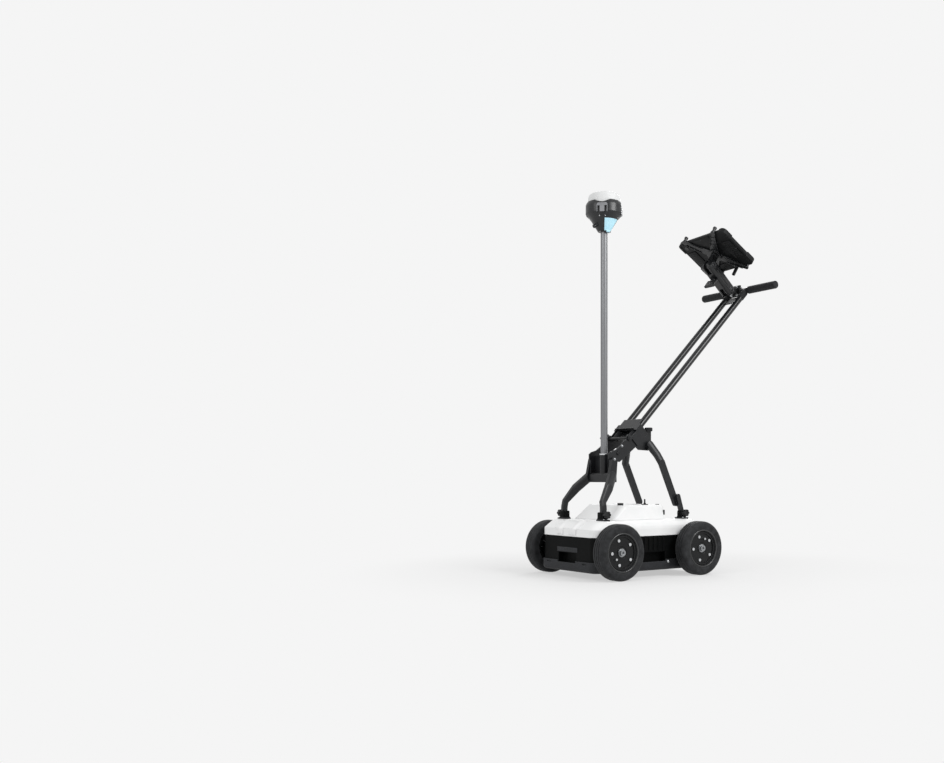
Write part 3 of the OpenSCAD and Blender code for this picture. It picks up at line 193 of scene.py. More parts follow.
# grey ABS mouldings of the receiver and keys: fine leather grain
greyAbs = makeFinish("grainedGreyAbs", {
    "low": "#3c3d40", "high": "#494a4d", "worn": "#77787b", "wear": 0.7, "patchMm": 20, "grainMm": 2.4,
    "rough": (0.3, 0.42), "lift": 0.3, "deepMm": 0.25, "edgeMm": 1.6,
    "fixed": {"IOR": 1.52, "Specular IOR Level": 0.5}})
# bare rolled aluminium sheet: pale, streaked along the roll
rolledAluminium = makeFinish("rolledAluminiumSheet", {
    "low": "#b9bbbd", "high": "#cdcfd1", "worn": "#e4e5e6", "wear": 0.4, "patchMm": 12, "grainMm": 2.0,
    "rough": (0.3, 0.42), "lift": 0.15, "deepMm": 0.1, "edgeMm": 0.8, "fixed": {"Metallic": 1.0},
    "run": ((0, 0, 0), (1, 0.08, 1))})
# epoxy glass board under green solder resist: thin gloss over a woven ground
boardEpoxy = makeFinish("solderResistEpoxy", {
    "low": "#245a39", "high": "#2f6b45", "worn": "#5e8f6d", "wear": 0.5, "patchMm": 9, "grainMm": 1.5,
    "rough": (0.26, 0.38), "lift": 0.2, "deepMm": 0.1, "edgeMm": 0.5, "fixed": {"IOR": 1.55}})
# polyester powder coat on steel: dark grey, orange peel about 3 mm across, rubbed pale on corners
powderCoat = makeFinish("polyesterPowderCoat", {
    "low": "#151618", "high": "#1e1f21", "worn": "#5a5b5e", "wear": 0.9, "patchMm": 45, "grainMm": 3.0,
    "rough": (0.28, 0.4), "lift": 0.35, "deepMm": 0.3, "edgeMm": 1.8,
    "fixed": {"IOR": 1.52, "Specular IOR Level": 0.3}})
# black anodised drawn tube: a clear hard highlight along its length, faint draw lines
anodisedTube = makeFinish("blackAnodisedDrawnTube", {
    "low": "#0f1012", "high": "#141517", "worn": "#4c4d50", "wear": 0.6, "patchMm": 60, "grainMm": 8.0,
    "rough": (0.2, 0.24), "lift": 0.03, "deepMm": 0.1, "edgeMm": 0.8,
    "fixed": {"IOR": 1.5, "Specular IOR Level": 0.4},
    "run": ((math.radians(45), 0, 0), (1, 1, 0.02))})
# closed cell rubber foam grips, ground: matt, soft edged pores
gripFoam = makeFinish("groundFoamRubber", {
    "low": "#18191b", "high": "#232426", "worn": "#3a3b3e", "wear": 0.7, "patchMm": 12, "grainMm": 2.4,
    "rough": (0.6, 0.78), "lift": 0.6, "deepMm": 0.5, "edgeMm": 1.5,
    "fixed": {"IOR": 1.48, "Specular IOR Level": 0.2, "Sheen Weight": 0.08}})
# hardened glass over a dark display: black mirror with a soft smear of fingers
displayGlass = makeFinish("hardenedDisplayGlass", {
    "low": "#0c0e10", "high": "#121518", "worn": "#2b2f33", "wear": 0.4, "patchMm": 35, "grainMm": 8.0,
    "rough": (0.04, 0.14), "lift": 0.02, "deepMm": 0.05, "edgeMm": 0.5,
    "fixed": {"IOR": 1.52, "Coat Weight": 0.5}})
# grey anodised pole: drawn tube, satin, streaks along the length
poleAlloy = makeFinish("greyAnodisedAluminium", {
    "low": "#707173", "high": "#7f8082", "worn": "#aaabad", "wear": 0.5, "patchMm": 14, "grainMm": 2.0,
    "rough": (0.32, 0.42), "lift": 0.1, "deepMm": 0.1, "edgeMm": 0.8, "fixed": {"Metallic": 0.5},
    "run": ((0, 0, 0), (1, 1, 0.02))})
# pale blue polycarbonate door, moulded: satin, even, a touch of depth
bluePolycarbonate = makeFinish("paleBluePolycarbonate", {
    "low": "#b3e6f8", "high": "#c4eefb", "worn": "#e2f8fe", "wear": 0.5, "patchMm": 22, "grainMm": 3.0,
    "rough": (0.26, 0.36), "lift": 0.12, "deepMm": 0.15, "edgeMm": 1.2,
    "fixed": {"IOR": 1.58, "Specular IOR Level": 0.35}})
# white radome of the receiver, moulded glass filled polymer: a shade greyer than the cover, even
radomeWhite = makeFinish("mouldedRadomePolymer", {
    "low": "#d6d7d7", "high": "#dedfdf", "worn": "#ebebeb", "wear": 0.4, "patchMm": 40, "grainMm": 4.0,
    "rough": (0.4, 0.5), "lift": 0.1, "deepMm": 0.2, "edgeMm": 2.0,
    "fixed": {"IOR": 1.52, "Specular IOR Level": 0.2}})
# dark ABS lobes of the receiver, moulded smooth: a broad clear highlight on the lobe that faces the light
lobeAbs = makeFinish("smoothDarkAbs", {
    "low": "#17181a", "high": "#202123", "worn": "#4a4b4e", "wear": 0.6, "patchMm": 20, "grainMm": 2.4,
    "rough": (0.24, 0.34), "lift": 0.15, "deepMm": 0.2, "edgeMm": 2.0,
    "fixed": {"IOR": 1.52, "Specular IOR Level": 0.4}})
# painted facets of the receiver: satin mid grey that stands clear of the darker lobes
facetGrey = makeFinish("satinGreyFacetPaint", {
    "low": "#7b7c7f", "high": "#88898c", "worn": "#a6a7a9", "wear": 0.5, "patchMm": 16, "grainMm": 2.2,
    "rough": (0.34, 0.46), "lift": 0.2, "deepMm": 0.2, "edgeMm": 0.6,
    "fixed": {"IOR": 1.52, "Specular IOR Level": 0.4}})
# soft elastomer over the tablet's case: very dark, dry, faint pebble
caseElastomer = makeFinish("overmouldedCaseElastomer", {
    "low": "#0b0c0d", "high": "#121314", "worn": "#2e2f31", "wear": 0.8, "patchMm": 22, "grainMm": 2.4,
    "rough": (0.42, 0.56), "lift": 0.4, "deepMm": 0.3, "edgeMm": 1.8,
    "fixed": {"IOR": 1.5, "Specular IOR Level": 0.18}})
# cast and painted alloy of the cradle and the arm: dark grey; the pale colour on its edges is partly wear
# and partly a painted highlight along the edges
castAlloy = makeFinish("paintedCastAlloyWornAndSheenEdges", {
    # pale edge colour with strong wear: partly wear, partly a painted highlight on the edges
    "low": "#0f1011", "high": "#17181a", "worn": "#6d6e71", "wear": 1.2, "patchMm": 24, "grainMm": 2.6,
    "rough": (0.2, 0.32), "lift": 0.2, "deepMm": 0.2, "edgeMm": 1.8,
    "fixed": {"IOR": 1.53, "Specular IOR Level": 0.4}})
print("finishes made")

finishes = {
    "tyre_rubber": tyreRubber, "rim_black": rimNylon, "bright_steel": zincSteel,
    "black_plastic": mouldedNylon, "tub_black": tubPolyethylene, "tray_grey": trayPolyethylene,
    "white_shell": whiteAbs, "grey_plastic": greyAbs, "aluminium_sheet": rolledAluminium,
    "board_green": boardEpoxy, "dark_coat": powderCoat, "grip_rubber": gripFoam,
    "dark_glass": displayGlass, "pole_alloy": poleAlloy, "pale_blue": bluePolycarbonate}
# nodes whose finish differs from the rest of their slot
ownFinish = {
    "handle_rails": anodisedTube, "handle_bar": anodisedTube, "axle_bolts": oiledSteel,
    "receiver_dome": radomeWhite, "receiver_body": lobeAbs, "tablet_case": caseElastomer,
    "cradle_plate": castAlloy, "cradle_jaw": castAlloy, "tablet_arm": castAlloy}


def dressFrame():
    for name, obj in nodes.items():
        slotName = obj.data.materials[0].name.split(".")[0]
        obj.data.materials.clear()
        obj.data.materials.append(ownFinish.get(name) or finishes[slotName])


dressFrame()
print("frame dressed")

sides = (-1, 1)
quarters = [(sx, sy) for sx in sides for sy in sides]
creaseAngle = 35  # edges sharper than this stay sharp


# places, in mm and degrees
def at(x, y, z):
    return Matrix.Translation(spot(x, y, z))


def shift(x, y, z):
    return Matrix.Translation((x / 1000, y / 1000, z / 1000))


def turn(degrees, axis):
    return Matrix.Rotation(math.radians(degrees), 4, axis)


def arcPoints(middle, r, angles):
    turns = [math.radians(angle) for angle in angles]
    return [(middle[0] + r * math.cos(a), middle[1] + r * math.sin(a)) for a in turns]


# mesh helpers: each adds one form to a bmesh, sizes in mm, placed by a matrix
def addTurned(bm, profile, place, steps):  # profile: (radius, height), turned about local Z
    rings = []
    for r, h in profile:
        points = arcPoints((0, 0), r, [360 * i / steps for i in range(steps)]) if r > 0 else [(0, 0)]
        rings.append([bm.verts.new(place @ Vector((x / 1000, y / 1000, h / 1000))) for x, y in points])
    for a, b in zip(rings, rings[1:]):
        for i in range(steps):
            j = (i + 1) % steps
            if len(a) == 1:
                bm.faces.new((a[0], b[j], b[i]))
            elif len(b) == 1:
                bm.faces.new((a[i], a[j], b[0]))
            else:
                bm.faces.new((a[i], a[j], b[j], b[i]))


def addBlock(bm, size, place, edge):  # box with rounded edges
    made = bmesh.ops.create_cube(bm, size=1)
    for v in made["verts"]:
        v.co = Vector((v.co.x * size[0] / 1000, v.co.y * size[1] / 1000, v.co.z * size[2] / 1000))
    edges = {e for v in made["verts"] for e in v.link_edges}
    cut = bmesh.ops.bevel(bm, geom=list(edges), offset=edge / 1000, segments=3, profile=0.5, affect="EDGES")
    verts = {v for f in cut["faces"] for v in f.verts} | {v for v in made["verts"] if v.is_valid}
    bmesh.ops.transform(bm, matrix=place, verts=list(verts))


def addPrism(bm, outline, height, place):  # outline: points in local XY, raised along Z
    low = [bm.verts.new(place @ Vector((x / 1000, y / 1000, 0))) for x, y in outline]
    top = [bm.verts.new(place @ Vector((x / 1000, y / 1000, height / 1000))) for x, y in outline]
    bm.faces.new(list(reversed(low)))
    bm.faces.new(top)
    for i in range(len(outline)):
        j = (i + 1) % len(outline)
        bm.faces.new((low[i], low[j], top[j], top[i]))


def setPiece(name, bm, body, mat):
    bmesh.ops.recalc_face_normals(bm, faces=bm.faces)
    mesh = bpy.data.meshes.new(name)
    bm.to_mesh(mesh)
    bm.free()
    mesh.shade_smooth()
    mesh.set_sharp_from_angle(angle=math.radians(creaseAngle))
    mesh.materials.append(mat)
    piece = bpy.data.objects.new(name, mesh)
    bpy.context.scene.collection.objects.link(piece)
    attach(piece, body)


# one piece of equal turned forms: the same profile at each place
def makeTurned(name, look, places, body, mat):
    bm = bmesh.new()
    for place in places:
        addTurned(bm, look["profile"], place, look["steps"])
    setPiece(name, bm, body, mat)


# bolts: washer sunk a little into its plate, hex head, low dome
boltShape = {"sink": 0.5, "washer": 1.4, "washerEdge": (0.5, 0.4), "washerSteps": 28, "rise": 1.2,
             "domeLow": 1.0, "domeRise": (0.7, 0.8), "domeShare": (0.84, 0.6), "domeSteps": 24}


def addBolt(bm, place, look):
    w, r, h, shape = look["washerR"], look["headR"], look["headH"], boltShape
    sink, thick, (bite, drop) = shape["sink"], shape["washer"], shape["washerEdge"]
    washer = [(0, -sink), (w, -sink), (w, thick - drop), (w - bite, thick), (0, thick)]
    addTurned(bm, washer, place, shape["washerSteps"])
    addPrism(bm, arcPoints((0, 0), r, range(0, 360, 60)), h + shape["rise"], place)
    low, (shoulder, crown), (wide, slim) = h + shape["domeLow"], shape["domeRise"], shape["domeShare"]
    dome = [(0, low), (r * wide, low), (r * slim, low + shoulder), (0, low + crown)]
    addTurned(bm, dome, place, shape["domeSteps"])


# bolts on the yoke plates and the legs' upper ends; the rear ones lean with their leg
yokeBolts = {"plates": [(60.5, -56, 479), (72.5, -101, 429)], "rear": (75.5, 76.4, 481),
             "rearOut": (0.871, -0.2, 0.447), "washerR": 5.4, "headR": 4.2, "headH": 3}


def makeYokeBolts(look):
    bm = bmesh.new()
    (rearX, rearY, rearZ), (u, v, w) = look["rear"], look["rearOut"]
    for side in sides:
        for x, y, z in look["plates"]:
            addBolt(bm, at(side * x, y, z) @ turn(side * 90, "Y"), look)
        lean = Vector((side * u, v, w)).to_track_quat("Z", "Y").to_matrix().to_4x4()
        addBolt(bm, at(side * rearX, rearY, rearZ) @ lean, look)
    setPiece("yokeBolts", bm, "chassis", oiledSteel)


makeYokeBolts(yokeBolts)

# rubber sleeves round the bumpers that the handle rests on
bumperSleeves = {"x": 58, "y": 76.5, "z": 538.5, "steps": 40,
                 "profile": [(13.1, 0), (14.46, 0), (15.1, 1), (15.1, 3), (14.3, 3.8),
                             (14.3, 4.6), (15.1, 5.4), (15.1, 9), (14.46, 10.5), (13.1, 11)]}
makeTurned("bumperSleeves", bumperSleeves,
           [at(side * bumperSleeves["x"], bumperSleeves["y"], bumperSleeves["z"]) for side in sides],
           "chassis", gripFoam)

# small black screw knob that tightens the pole collar
poleX, poleY, collarZ = jointSpot("pole_collar_turn")
collarKnob = {"angle": 40, "reach": 29, "drop": 2.1, "steps": 28,
              "profile": [(0, 0.4), (4.4, 0.4), (5.4, 1.4), (5.4, 6), (4.8, 6.6), (4.8, 7.4),
                          (5.4, 8), (5.4, 12.6), (4.6, 14.2), (3.2, 15), (0, 15)]}
knobX, knobY = arcPoints((poleX, poleY), collarKnob["reach"], [collarKnob["angle"]])[0]
makeTurned("collarKnob", collarKnob, [at(knobX, knobY, collarZ - collarKnob["drop"])],
           "pole_collar", mouldedNylon)

# button head screws through the corners of the feet into the deck; the front boots cover the inner ones
footX, footY, footKnobZ = jointSpot("foot_knob_rl_turn")
footScrews = {"corner": (16.3, 9), "drop": 17, "steps": 20,
              "profile": [(0, -0.5), (3.6, -0.5), (3.6, 0.5), (2.88, 1.76), (1.62, 2.2),
                          (1.512, 0.99), (0, 0.99)]}
openCorners = [(sx, sy, dx, dy) for sx, sy in quarters for dx, dy in quarters if sy > 0 or dx == sx]
makeTurned("footScrews", footScrews,
           [at(sx * footX + dx * footScrews["corner"][0], sy * footY + dy * footScrews["corner"][1],
               footKnobZ - footScrews["drop"]) for sx, sy, dx, dy in openCorners],
           "chassis", zincSteel)

# moulded boots on the feet, round the legs' lower ends and inside the knobs
# the rear ones reach less far inwards, which leaves room for the open battery door
footBoots = {"inner": {-1: 18, 1: 11}, "outer": 11.4, "deep": 28, "drop": 17.5, "high": 26.5, "edge": 4,
             "band": 4, "bandOut": 1, "bandEdge": 1.2}


def makeFootBoots(look):
    bm = bmesh.new()
    deep, low, high, outer = look["deep"], footKnobZ - look["drop"], look["high"], look["outer"]
    out, band = 2 * look["bandOut"], look["band"]
    for sx, sy in quarters:
        inner = look["inner"][sy]
        wide = inner + outer
        x, y = sx * (footX + (outer - inner) / 2), sy * footY
        addBlock(bm, (wide, deep, high), at(x, y, low + high / 2), look["edge"])
        addBlock(bm, (wide, deep + out, band), at(x, y, low + band / 2), look["bandEdge"])
    setPiece("footBoots", bm, "chassis", tubPolyethylene)


makeFootBoots(footBoots)

# two soft ribs that spread upwards on the cover's front and run out on its shoulder
coverRibs = {"x": (38, 47), "half": 20, "high": 4.5, "sink": 3.5, "root": 0.3, "across": 16, "steps": 28,
             "foot": (-269, 156), "bend": (-269, 177),
             "shoulder": (-219, 177), "round": 30, "arc": (126.87, 90), "arcSteps": 8}


def ribPath(look):  # the cover's front from its lower edge to the deck: upright, slope, shoulder; (y, z)
    start, stop = look["arc"]
    angles = [start + (stop - start) * i / look["arcSteps"] for i in range(look["arcSteps"] + 1)]
    shoulder = arcPoints(look["shoulder"], look["round"], angles)
    corners = [Vector(p) for p in [look["foot"], look["bend"]] + shoulder]
    lengths = [(b - a).length for a, b in zip(corners, corners[1:])]
    path = []
    for i in range(look["steps"] + 1):  # even steps along it
        left, k = sum(lengths) * i / look["steps"], 0
        while k < len(lengths) - 1 and left > lengths[k]:
            left, k = left - lengths[k], k + 1
        path.append(corners[k].lerp(corners[k + 1], left / lengths[k]))
    return path


def makeCoverRibs(look):
    bm = bmesh.new()
    path = ribPath(look)
    last, across = len(path) - 1, look["across"]
    for side in sides:
        top, under = [], []
        for i, p in enumerate(path):
            run = (path[min(i + 1, last)] - path[max(i - 1, 0)]).normalized()
            out = Vector((-run.y, run.x))  # away from the cover's face
            fade = math.sqrt(math.sin(math.pi * i / last)) if 0 < i < last else 0  # swells and runs out
            middle = side * (look["x"][0] + (look["x"][1] - look["x"][0]) * i / last)
            top.append([])
            under.append([])
            for j in range(across + 1):
                u = 2 * j / across - 1
                high = p + out * (look["high"] * fade * (1 + math.cos(math.pi * u)) / 2 - look["root"])
                deep = p - out * look["sink"]
                top[i].append(bm.verts.new(spot(middle + u * look["half"], *high)))
                under[i].append(bm.verts.new(spot(middle + u * look["half"], *deep)))
        for i in range(last):
            for j in range(across):
                bm.faces.new((top[i][j], top[i][j + 1], top[i + 1][j + 1], top[i + 1][j]))
                bm.faces.new((under[i][j], under[i + 1][j], under[i + 1][j + 1], under[i][j + 1]))
        border = ([(i, 0) for i in range(last)] + [(last, j) for j in range(across)]
                  + [(i, across) for i in range(last, 0, -1)] + [(0, j) for j in range(across, 0, -1)])
        for (i, j), (m, n) in zip(border, border[1:] + border[:1]):
            bm.faces.new((top[i][j], top[m][n], under[m][n], under[i][j]))
    setPiece("coverRibs", bm, "chassis", whiteAbs)


makeCoverRibs(coverRibs)

# countersunk screws on the housing's top
housingScrews = {"places": [(-94, -78), (94, -78), (-94, 30), (94, 30)], "z": 260, "steps": 24,
                 "profile": [(0, -0.5), (4, -0.5), (4, 0.15), (3.6, 0.5), (2, 0.5), (1.8, -0.2), (0, -0.2)]}
makeTurned("housingScrews", housingScrews,
           [at(x, y, housingScrews["z"]) for x, y in housingScrews["places"]],
           "chassis", zincSteel)

# bolts that hold the wear tray beside the side recesses
trayBolts = {"x": 168.2, "y": (-76, 76), "z": 54, "washerR": 5.5, "headR": 4, "headH": 2.4}


def makeTrayBolts(look):
    bm = bmesh.new()
    for side in sides:
        for y in look["y"]:
            addBolt(bm, at(side * look["x"], y, look["z"]) @ turn(side * 90, "Y"), look)
    setPiece("trayBolts", bm, "chassis", zincSteel)


makeTrayBolts(trayBolts)

# black plugs in the yoke plates, beside the front bolts
yokePlugs = {"x": 60.5, "y": -74, "z": 452, "steps": 30,
             "profile": [(0, -0.4), (7.5, -0.4), (7.5, 2.5), (6.7, 4), (5.5, 5), (3, 5), (2.7, 3), (0, 3)]}
makeTurned("yokePlugs", yokePlugs,
           [at(side * yokePlugs["x"], yokePlugs["y"], yokePlugs["z"]) @ turn(side * 90, "Y")
            for side in sides],
           "chassis", mouldedNylon)

# ribbed strips over the hand recesses of the tub's ends; their pale tray grey is painted light, the lit tone
# of the bar above each recess
recessStripsPaintedLight = {"size": (122, 3, 17), "edge": 1.3, "y": 262.2, "z": 101.5,
                "rib": (2.0, 1.4, 13), "ribEdge": 0.5, "ribs": range(-6, 7), "step": 9.6}


def makeRecessStripsPaintedLight(look):
    bm = bmesh.new()
    face = look["y"] + look["size"][1] / 2
    for end in sides:
        addBlock(bm, look["size"], at(0, end * look["y"], look["z"]), look["edge"])
        for i in look["ribs"]:
            addBlock(bm, look["rib"], at(i * look["step"], end * face, look["z"]), look["ribEdge"])
    # the pale grey given to these strips is painted light: the lit look of the bars
    setPiece("recessStripsPaintedLight", bm, "chassis", trayPolyethylene)


makeRecessStripsPaintedLight(recessStripsPaintedLight)

# spring clips at the rear corners of the electronics housing, with a lip near the top
housingClips = {"x": 112, "y": 105, "z": 232, "size": (4, 8, 18), "edge": 1.2,
                "lip": (5.6, 5, 3.4), "lipUp": 6, "lipEdge": 1.0}


def makeHousingClips(look):
    bm = bmesh.new()
    for side in sides:
        place = at(side * look["x"], look["y"], look["z"])
        addBlock(bm, look["size"], place, look["edge"])
        addBlock(bm, look["lip"], place @ shift(0, 0, look["lipUp"]), look["lipEdge"])
    setPiece("housingClips", bm, "chassis", mouldedNylon)


makeHousingClips(housingClips)
print("cart fittings made")

# rounded bead of each tyre, round the rim's outer lip
rimBeads = {"wheels": {"fl": 1, "fr": -1, "rl": 1, "rr": -1}, "r": 67.2, "half": 3.0, "out": 3.6,
            "arc": range(-30, 211, 15), "steps": 96}


def makeRimBeads(look):
    look = dict(look, profile=arcPoints((look["r"], look["out"]), look["half"], look["arc"]))
    for name, side in look["wheels"].items():
        low, high = (Vector(corner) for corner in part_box("rim_" + name))
        middle = (low + high) / 2
        face = high.x if side > 0 else low.x
        place = Matrix.Translation((face, middle.y, middle.z)) @ turn(side * 90, "Y")
        makeTurned("rimBead" + name.title(), look, [place], "wheel_" + name, beadRubber)


makeRimBeads(rimBeads)
print("wheel beads made")

# handle: frame on its hinge, local Z along the rails, local Y under them
handleLean = 45
onHandle = at(*jointSpot("handle_tilt")) @ turn(-handleLean, "X")
# rubber boots at the lower ends of the rails and sleeves under the bar
railTrim = {"x": 42, "set": 12.7, "steps": 36,
            "boot": [(12.25, 14), (12.95, 14.8), (12.95, 37), (12.7, 38), (12.95, 39), (12.95, 43),
                     (12.25, 44)],
            "sleeve": [(12.2, 846), (14.0, 846), (14.4, 847.2), (14.4, 855), (13.8, 856), (13.8, 858),
                       (14.4, 859), (14.4, 878.8), (14.0, 880), (12.2, 880)]}


def makeRailTrim(look):
    bm = bmesh.new()
    for side in sides:
        place = onHandle @ shift(side * look["x"], look["set"], 0)
        addTurned(bm, look["boot"], place, look["steps"])
        addTurned(bm, look["sleeve"], place, look["steps"])
    setPiece("railTrim", bm, "handle", gripFoam)


makeRailTrim(railTrim)

# arm: frame on its lower pivot, from which the arm runs along local -Y
armLean = 41
onArm = at(*jointSpot("arm_tilt")) @ turn(-armLean, "X")
# discs over both pivots and a raised rib along each side
armTrim = {"half": 26, "long": 134, "sink": 0.6, "steps": 36, "rib": (3, 78, 9), "ribEdge": 1.2,
           "disc": [(13, 0), (13, 1.6), (12.2, 2.4), (10, 2.4), (9.4, 1.7), (5, 1.7), (4.6, 2.6), (0, 2.8)]}


def makeArmTrim(look):
    bm = bmesh.new()
    for side in sides:
        for y in (0, -look["long"]):
            place = onArm @ shift(side * (look["half"] - look["sink"]), y, 0) @ turn(side * 90, "Y")
            addTurned(bm, look["disc"], place, look["steps"])
        addBlock(bm, look["rib"], onArm @ shift(side * look["half"], -look["long"] / 2, 0), look["ribEdge"])
    setPiece("armTrim", bm, "arm", castAlloy)


makeArmTrim(armTrim)
print("handle trim made")

# tablet: frame on its middle above the pivot, local Z out of the screen, local Y towards its lower edge
screenLean, screenRoll, screenUp = 33, 3, 69
onPivot = at(*jointSpot("cradle_tilt")) @ turn(-screenLean, "X")
onScreen = onPivot @ shift(0, 0, screenUp) @ turn(-screenRoll, "Z")
# bumpers round the corners with notches on the short sides, and raised pads and bars on the back
tabletBack = {"half": (135, 100), "back": -8.0, "front": 8.8, "proud": 0.7, "under": 1.6,
              "corner": 18, "inner": 9, "wrap": 9, "arm": (30, 52), "ease": 3, "nick": 1,
              "notch": (2.2, 3.2, 12), "notchEdge": 0.7, "notchFrom": 26, "notchStep": 7, "notches": 4,
              "sidePad": (46, 92, 3.6), "sideAt": 100, "endPad": (96, 40, 3.6), "endAt": 76,
              "padEdge": 1.5, "padOut": 1.2,
              "bar": (30, 3, 1.6), "barEdge": 0.6, "barOut": 3.2, "bars": range(-3, 4), "barStep": 11}


def cornerOutline(look):  # bumper round the corner of the first quarter
    hx, hy = look["half"][0] + look["proud"], look["half"][1] + look["proud"]
    (ax, ay), w, r, inner = look["arm"], look["wrap"], look["corner"], look["inner"]
    outside = arcPoints((hx - r, hy - r), r, range(0, 91, 15))
    inside = arcPoints((hx - w - inner, hy - w - inner), inner, range(90, -1, -30))
    ease, nick = look["ease"], look["nick"]
    return ([(hx - nick, hy - ay), (hx, hy - ay + ease)] + outside
            + [(hx - ax + ease, hy), (hx - ax, hy - nick), (hx - ax, hy - w)] + inside + [(hx - w, hy - ay)])


def makeTabletBack(look):
    bm = bmesh.new()
    low, under = look["back"], look["under"]
    for sx, sy in quarters:
        turned = onScreen @ Matrix.Diagonal((sx, sy, 1, 1))
        addPrism(bm, cornerOutline(look), look["front"] - low + under, turned @ shift(0, 0, low - under))
        for i in range(look["notches"]):
            y = look["half"][1] - look["notchFrom"] - look["notchStep"] * i
            place = turned @ shift(look["half"][0] + look["proud"], y, 0)
            addBlock(bm, look["notch"], place, look["notchEdge"])
    for side in sides:  # raised pads between the crossed arms, barred at the sides
        padZ = low - look["padOut"]
        addBlock(bm, look["sidePad"], onScreen @ shift(side * look["sideAt"], 0, padZ), look["padEdge"])
        addBlock(bm, look["endPad"], onScreen @ shift(0, side * look["endAt"], padZ), look["padEdge"])
        for i in look["bars"]:
            place = onScreen @ shift(side * look["sideAt"], i * look["barStep"], low - look["barOut"])
            addBlock(bm, look["bar"], place, look["barEdge"])
    setPiece("tabletBumpers", bm, "cradle", caseElastomer)


makeTabletBack(tabletBack)

# screws and the camera's ring on the tablet's back
tabletFittings = {"screws": [(-122, 0), (122, 0), (0, -90), (58, 62), (-58, 62)], "screwOut": 2.6,
                  "screw": [(0, -0.4), (3, -0.4), (3, 0.5), (2.4, 0.9), (1.2, 0.9), (1.1, 0.3), (0, 0.3)],
                  "screwSteps": 20, "lensAt": (-104, -72), "lensSteps": 32,
                  "lens": [(9, -0.4), (9, 1.4), (8, 2.2), (6, 2.2), (5.4, 1.2), (0, 1.0)]}


def makeTabletFittings(look, back):
    bm = bmesh.new()
    for x, y in look["screws"]:
        place = onScreen @ shift(x, y, back - look["screwOut"]) @ turn(180, "X")
        addTurned(bm, look["screw"], place, look["screwSteps"])
    x, y = look["lensAt"]
    addTurned(bm, look["lens"], onScreen @ shift(x, y, back) @ turn(180, "X"), look["lensSteps"])
    setPiece("tabletFittings", bm, "cradle", castAlloy)


makeTabletFittings(tabletFittings, tabletBack["back"])

# flanges along the crossed arms of the cradle: the upper pair is on the plate, the lower pair on the jaw
cradleFlanges = {"pieces": {"cradleFlangesUpper": ("cradle", -1), "cradleFlangesLower": ("cradle_jaw", 1)},
                 "post": (86, 106.8), "from": 54, "short": 12, "waist": 20, "tip": 9,
                 "plate": -13.3, "high": 5, "wide": 2.4, "sink": 1, "edge": 0.9,
                 "ribs": (12, 34, 56), "ribThick": 2.2, "ribHigh": 3.4, "ribSink": 1.8, "ribShort": 3,
                 "ribEdge": 0.7}


def makeCradleFlanges(look):
    px, py = look["post"]
    reach = math.hypot(px, py)
    start, stop = look["from"], reach - look["short"]
    base = look["plate"] - look["high"] / 2

    def armHalf(u):  # half the arm's width at u from the middle
        return look["waist"] + (look["tip"] - look["waist"]) * u / reach

    near, far = armHalf(start) - look["wide"] / 2, armHalf(stop) - look["wide"] / 2
    for name, (body, sy) in look["pieces"].items():
        bm = bmesh.new()
        for sx in sides:
            along = onScreen @ Matrix.Rotation(math.atan2(sy * py, sx * px), 4, "Z")
            for edge in sides:
                lean = Matrix.Rotation(math.atan2(edge * (far - near), stop - start), 4, "Z")
                middle = shift((start + stop) / 2, edge * (near + far) / 2, base + look["sink"])
                size = (stop - start, look["wide"], look["high"])
                addBlock(bm, size, along @ middle @ lean, look["edge"])
            for u in (start + step for step in look["ribs"]):
                size = (look["ribThick"], 2 * armHalf(u) - look["ribShort"], look["ribHigh"])
                addBlock(bm, size, along @ shift(u, 0, base + look["ribSink"]), look["ribEdge"])
        setPiece(name, bm, body, castAlloy)


makeCradleFlanges(cradleFlanges)
print("tablet trim made")

# receiver: painted panels round the slots of each flat, and two lamps under each on the taper
# heights are measured from the pole's top, where the receiver turns
receiverPanels = {"flats": (45, 135, 225, 315), "flat": 65.6, "half": 20,
                  "low": 60.5, "high": 93, "nick": 5, "thick": 1.0,
                  "slotAt": 13, "slotHalf": 4.6, "slotTop": 82.5,
                  "lampZ": 48, "lampY": 11, "taperR": 54.0, "lampTilt": 135, "lampSteps": 20,
                  "lamp": [(2.2, -1.5), (2.2, 0.3), (1.54, 0.9), (0.66, 1.1), (0, 1.1)]}


def makeReceiverPanels(look):
    bm, lampMesh = bmesh.new(), bmesh.new()
    inner, outer = look["slotAt"] - look["slotHalf"], look["slotAt"] + look["slotHalf"]
    half, low, top, high, nick = look["half"], look["low"], look["slotTop"], look["high"], look["nick"]
    comb = [(-half, low), (-outer, low), (-outer, top), (-inner, top), (-inner, low),
            (inner, low), (inner, top), (outer, top), (outer, low), (half, low),
            (half, high - nick), (half - nick, high), (nick - half, high), (-half, high - nick)]
    # stands the outline up on the flat: its X runs across, its Y upwards
    upright = Matrix(((0, 0, 1, look["flat"] / 1000), (1, 0, 0, 0), (0, 1, 0, 0), (0, 0, 0, 1)))
    reach = math.sqrt(look["taperR"] ** 2 - look["lampY"] ** 2)
    for angle in look["flats"]:
        turned = at(*jointSpot("receiver_turn")) @ turn(angle, "Z")
        addPrism(bm, comb, look["thick"], turned @ upright)
        for side in sides:
            place = turned @ shift(reach, side * look["lampY"], look["lampZ"]) @ turn(look["lampTilt"], "Y")
            addTurned(lampMesh, look["lamp"], place, look["lampSteps"])
    setPiece("receiverPanels", bm, "receiver", facetGrey)
    setPiece("receiverLamps", lampMesh, "receiver", zincSteel)


makeReceiverPanels(receiverPanels)
print("receiver trim made")

# pale ground behind the object, and a floor that keeps the shadow near it and fades to that plain ground
studio = {"ground": "#f5f5f5", "paint": "#dedede", "paintRough": 0.9, "floorHalf": 30.0, "world": 0.64,
          "shadowKept": 0.45, "near": 0.45, "far": 1.3}


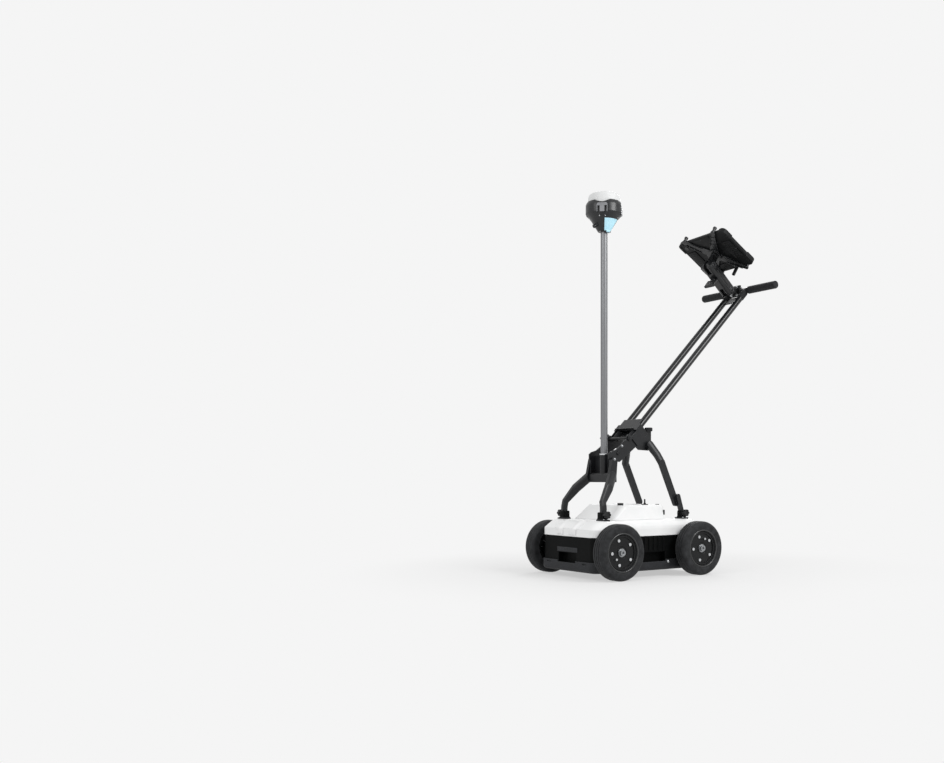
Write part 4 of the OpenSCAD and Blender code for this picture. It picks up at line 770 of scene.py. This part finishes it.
def seenPlain(owner):  # 1 where the camera, a reflection or a view through glass meets the surface
    rays = addNode(owner, "ShaderNodeLightPath")
    direct = addNode(owner, "ShaderNodeMath", {"operation": "MAXIMUM"},
                     {0: rays.outputs["Is Camera Ray"], 1: rays.outputs["Is Glossy Ray"]})
    return addNode(owner, "ShaderNodeMath", {"operation": "MAXIMUM"},
                   {0: direct.outputs["Value"], 1: rays.outputs["Is Transmission Ray"]}).outputs["Value"]


def makeFloor(look):
    bm = bmesh.new()
    half = look["floorHalf"]
    bm.faces.new([bm.verts.new((x * half, y * half, 0)) for x, y in ((-1, -1), (1, -1), (1, 1), (-1, 1))])
    mesh = bpy.data.meshes.new("studioFloor")
    bm.to_mesh(mesh)
    bm.free()
    floor = bpy.data.objects.new("studioFloor", mesh)
    bpy.context.scene.collection.objects.link(floor)
    mat = bpy.data.materials.new("paleStudioFloor")  # painted board: even, matt, pale
    mat.use_nodes = True
    tree = mat.node_tree
    paint = tree.nodes["Principled BSDF"]
    paint.inputs["Base Color"].default_value = linear(look["paint"])
    paint.inputs["Roughness"].default_value = look["paintRough"]
    paint.inputs["Specular IOR Level"].default_value = 0.0
    where = addNode(mat, "ShaderNodeTexCoord")
    away = addNode(mat, "ShaderNodeVectorMath", {"operation": "LENGTH"}, {0: where.outputs["Object"]})
    fade = addNode(mat, "ShaderNodeMapRange",
                   {"interpolation_type": "SMOOTHSTEP", "From Min": look["near"], "From Max": look["far"],
                    "To Min": 1 - look["shadowKept"], "To Max": 1.0}, {"Value": away.outputs["Value"]})
    share = addNode(mat, "ShaderNodeMath", {"operation": "MULTIPLY"},
                    {0: seenPlain(mat), 1: fade.outputs["Result"]})
    plain = addNode(mat, "ShaderNodeEmission", {"Color": linear(look["ground"]), "Strength": 1.0})
    both = addNode(mat, "ShaderNodeMixShader", None,
                   {0: share.outputs["Value"], 1: paint.outputs["BSDF"], 2: plain.outputs["Emission"]})
    tree.links.new(both.outputs["Shader"], tree.nodes["Material Output"].inputs["Surface"])
    mesh.materials.append(mat)


def makeWorld(look):
    world = bpy.data.worlds.new("paleStudio")
    bpy.context.scene.world = world
    world.use_nodes = True
    sky = world.node_tree.nodes["Background"]
    shine = addNode(world, "ShaderNodeMapRange", {"To Min": look["world"], "To Max": 1.0},
                    {"Value": seenPlain(world)})
    sky.inputs["Color"].default_value = linear(look["ground"])
    world.node_tree.links.new(shine.outputs["Result"], sky.inputs["Strength"])


makeFloor(studio)
makeWorld(studio)

lamps = {
    "softKey": {"place": (2.6, 0.7, 2.4), "aim": (0, 0, 0.5), "size": 1.6, "power": 58},
    "softFill": {"place": (0.6, -3.2, 2.2), "aim": (0, 0, 0.4), "size": 2.2, "power": 34},
    "softBack": {"place": (-2.2, 2.2, 2.8), "aim": (0, 0, 0.6), "size": 2.0, "power": 40}}


def setLamps(plan):
    for name, look in plan.items():
        data = bpy.data.lights.new(name, "AREA")
        data.shape = "DISK"
        data.size = look["size"]
        data.energy = look["power"]
        lamp = bpy.data.objects.new(name, data)
        lamp.location = look["place"]
        beam = Vector(look["aim"]) - Vector(look["place"])
        lamp.rotation_euler = beam.to_track_quat("-Z", "Y").to_euler()
        bpy.context.scene.collection.objects.link(lamp)


setLamps(lamps)
print("stage and lamps set")
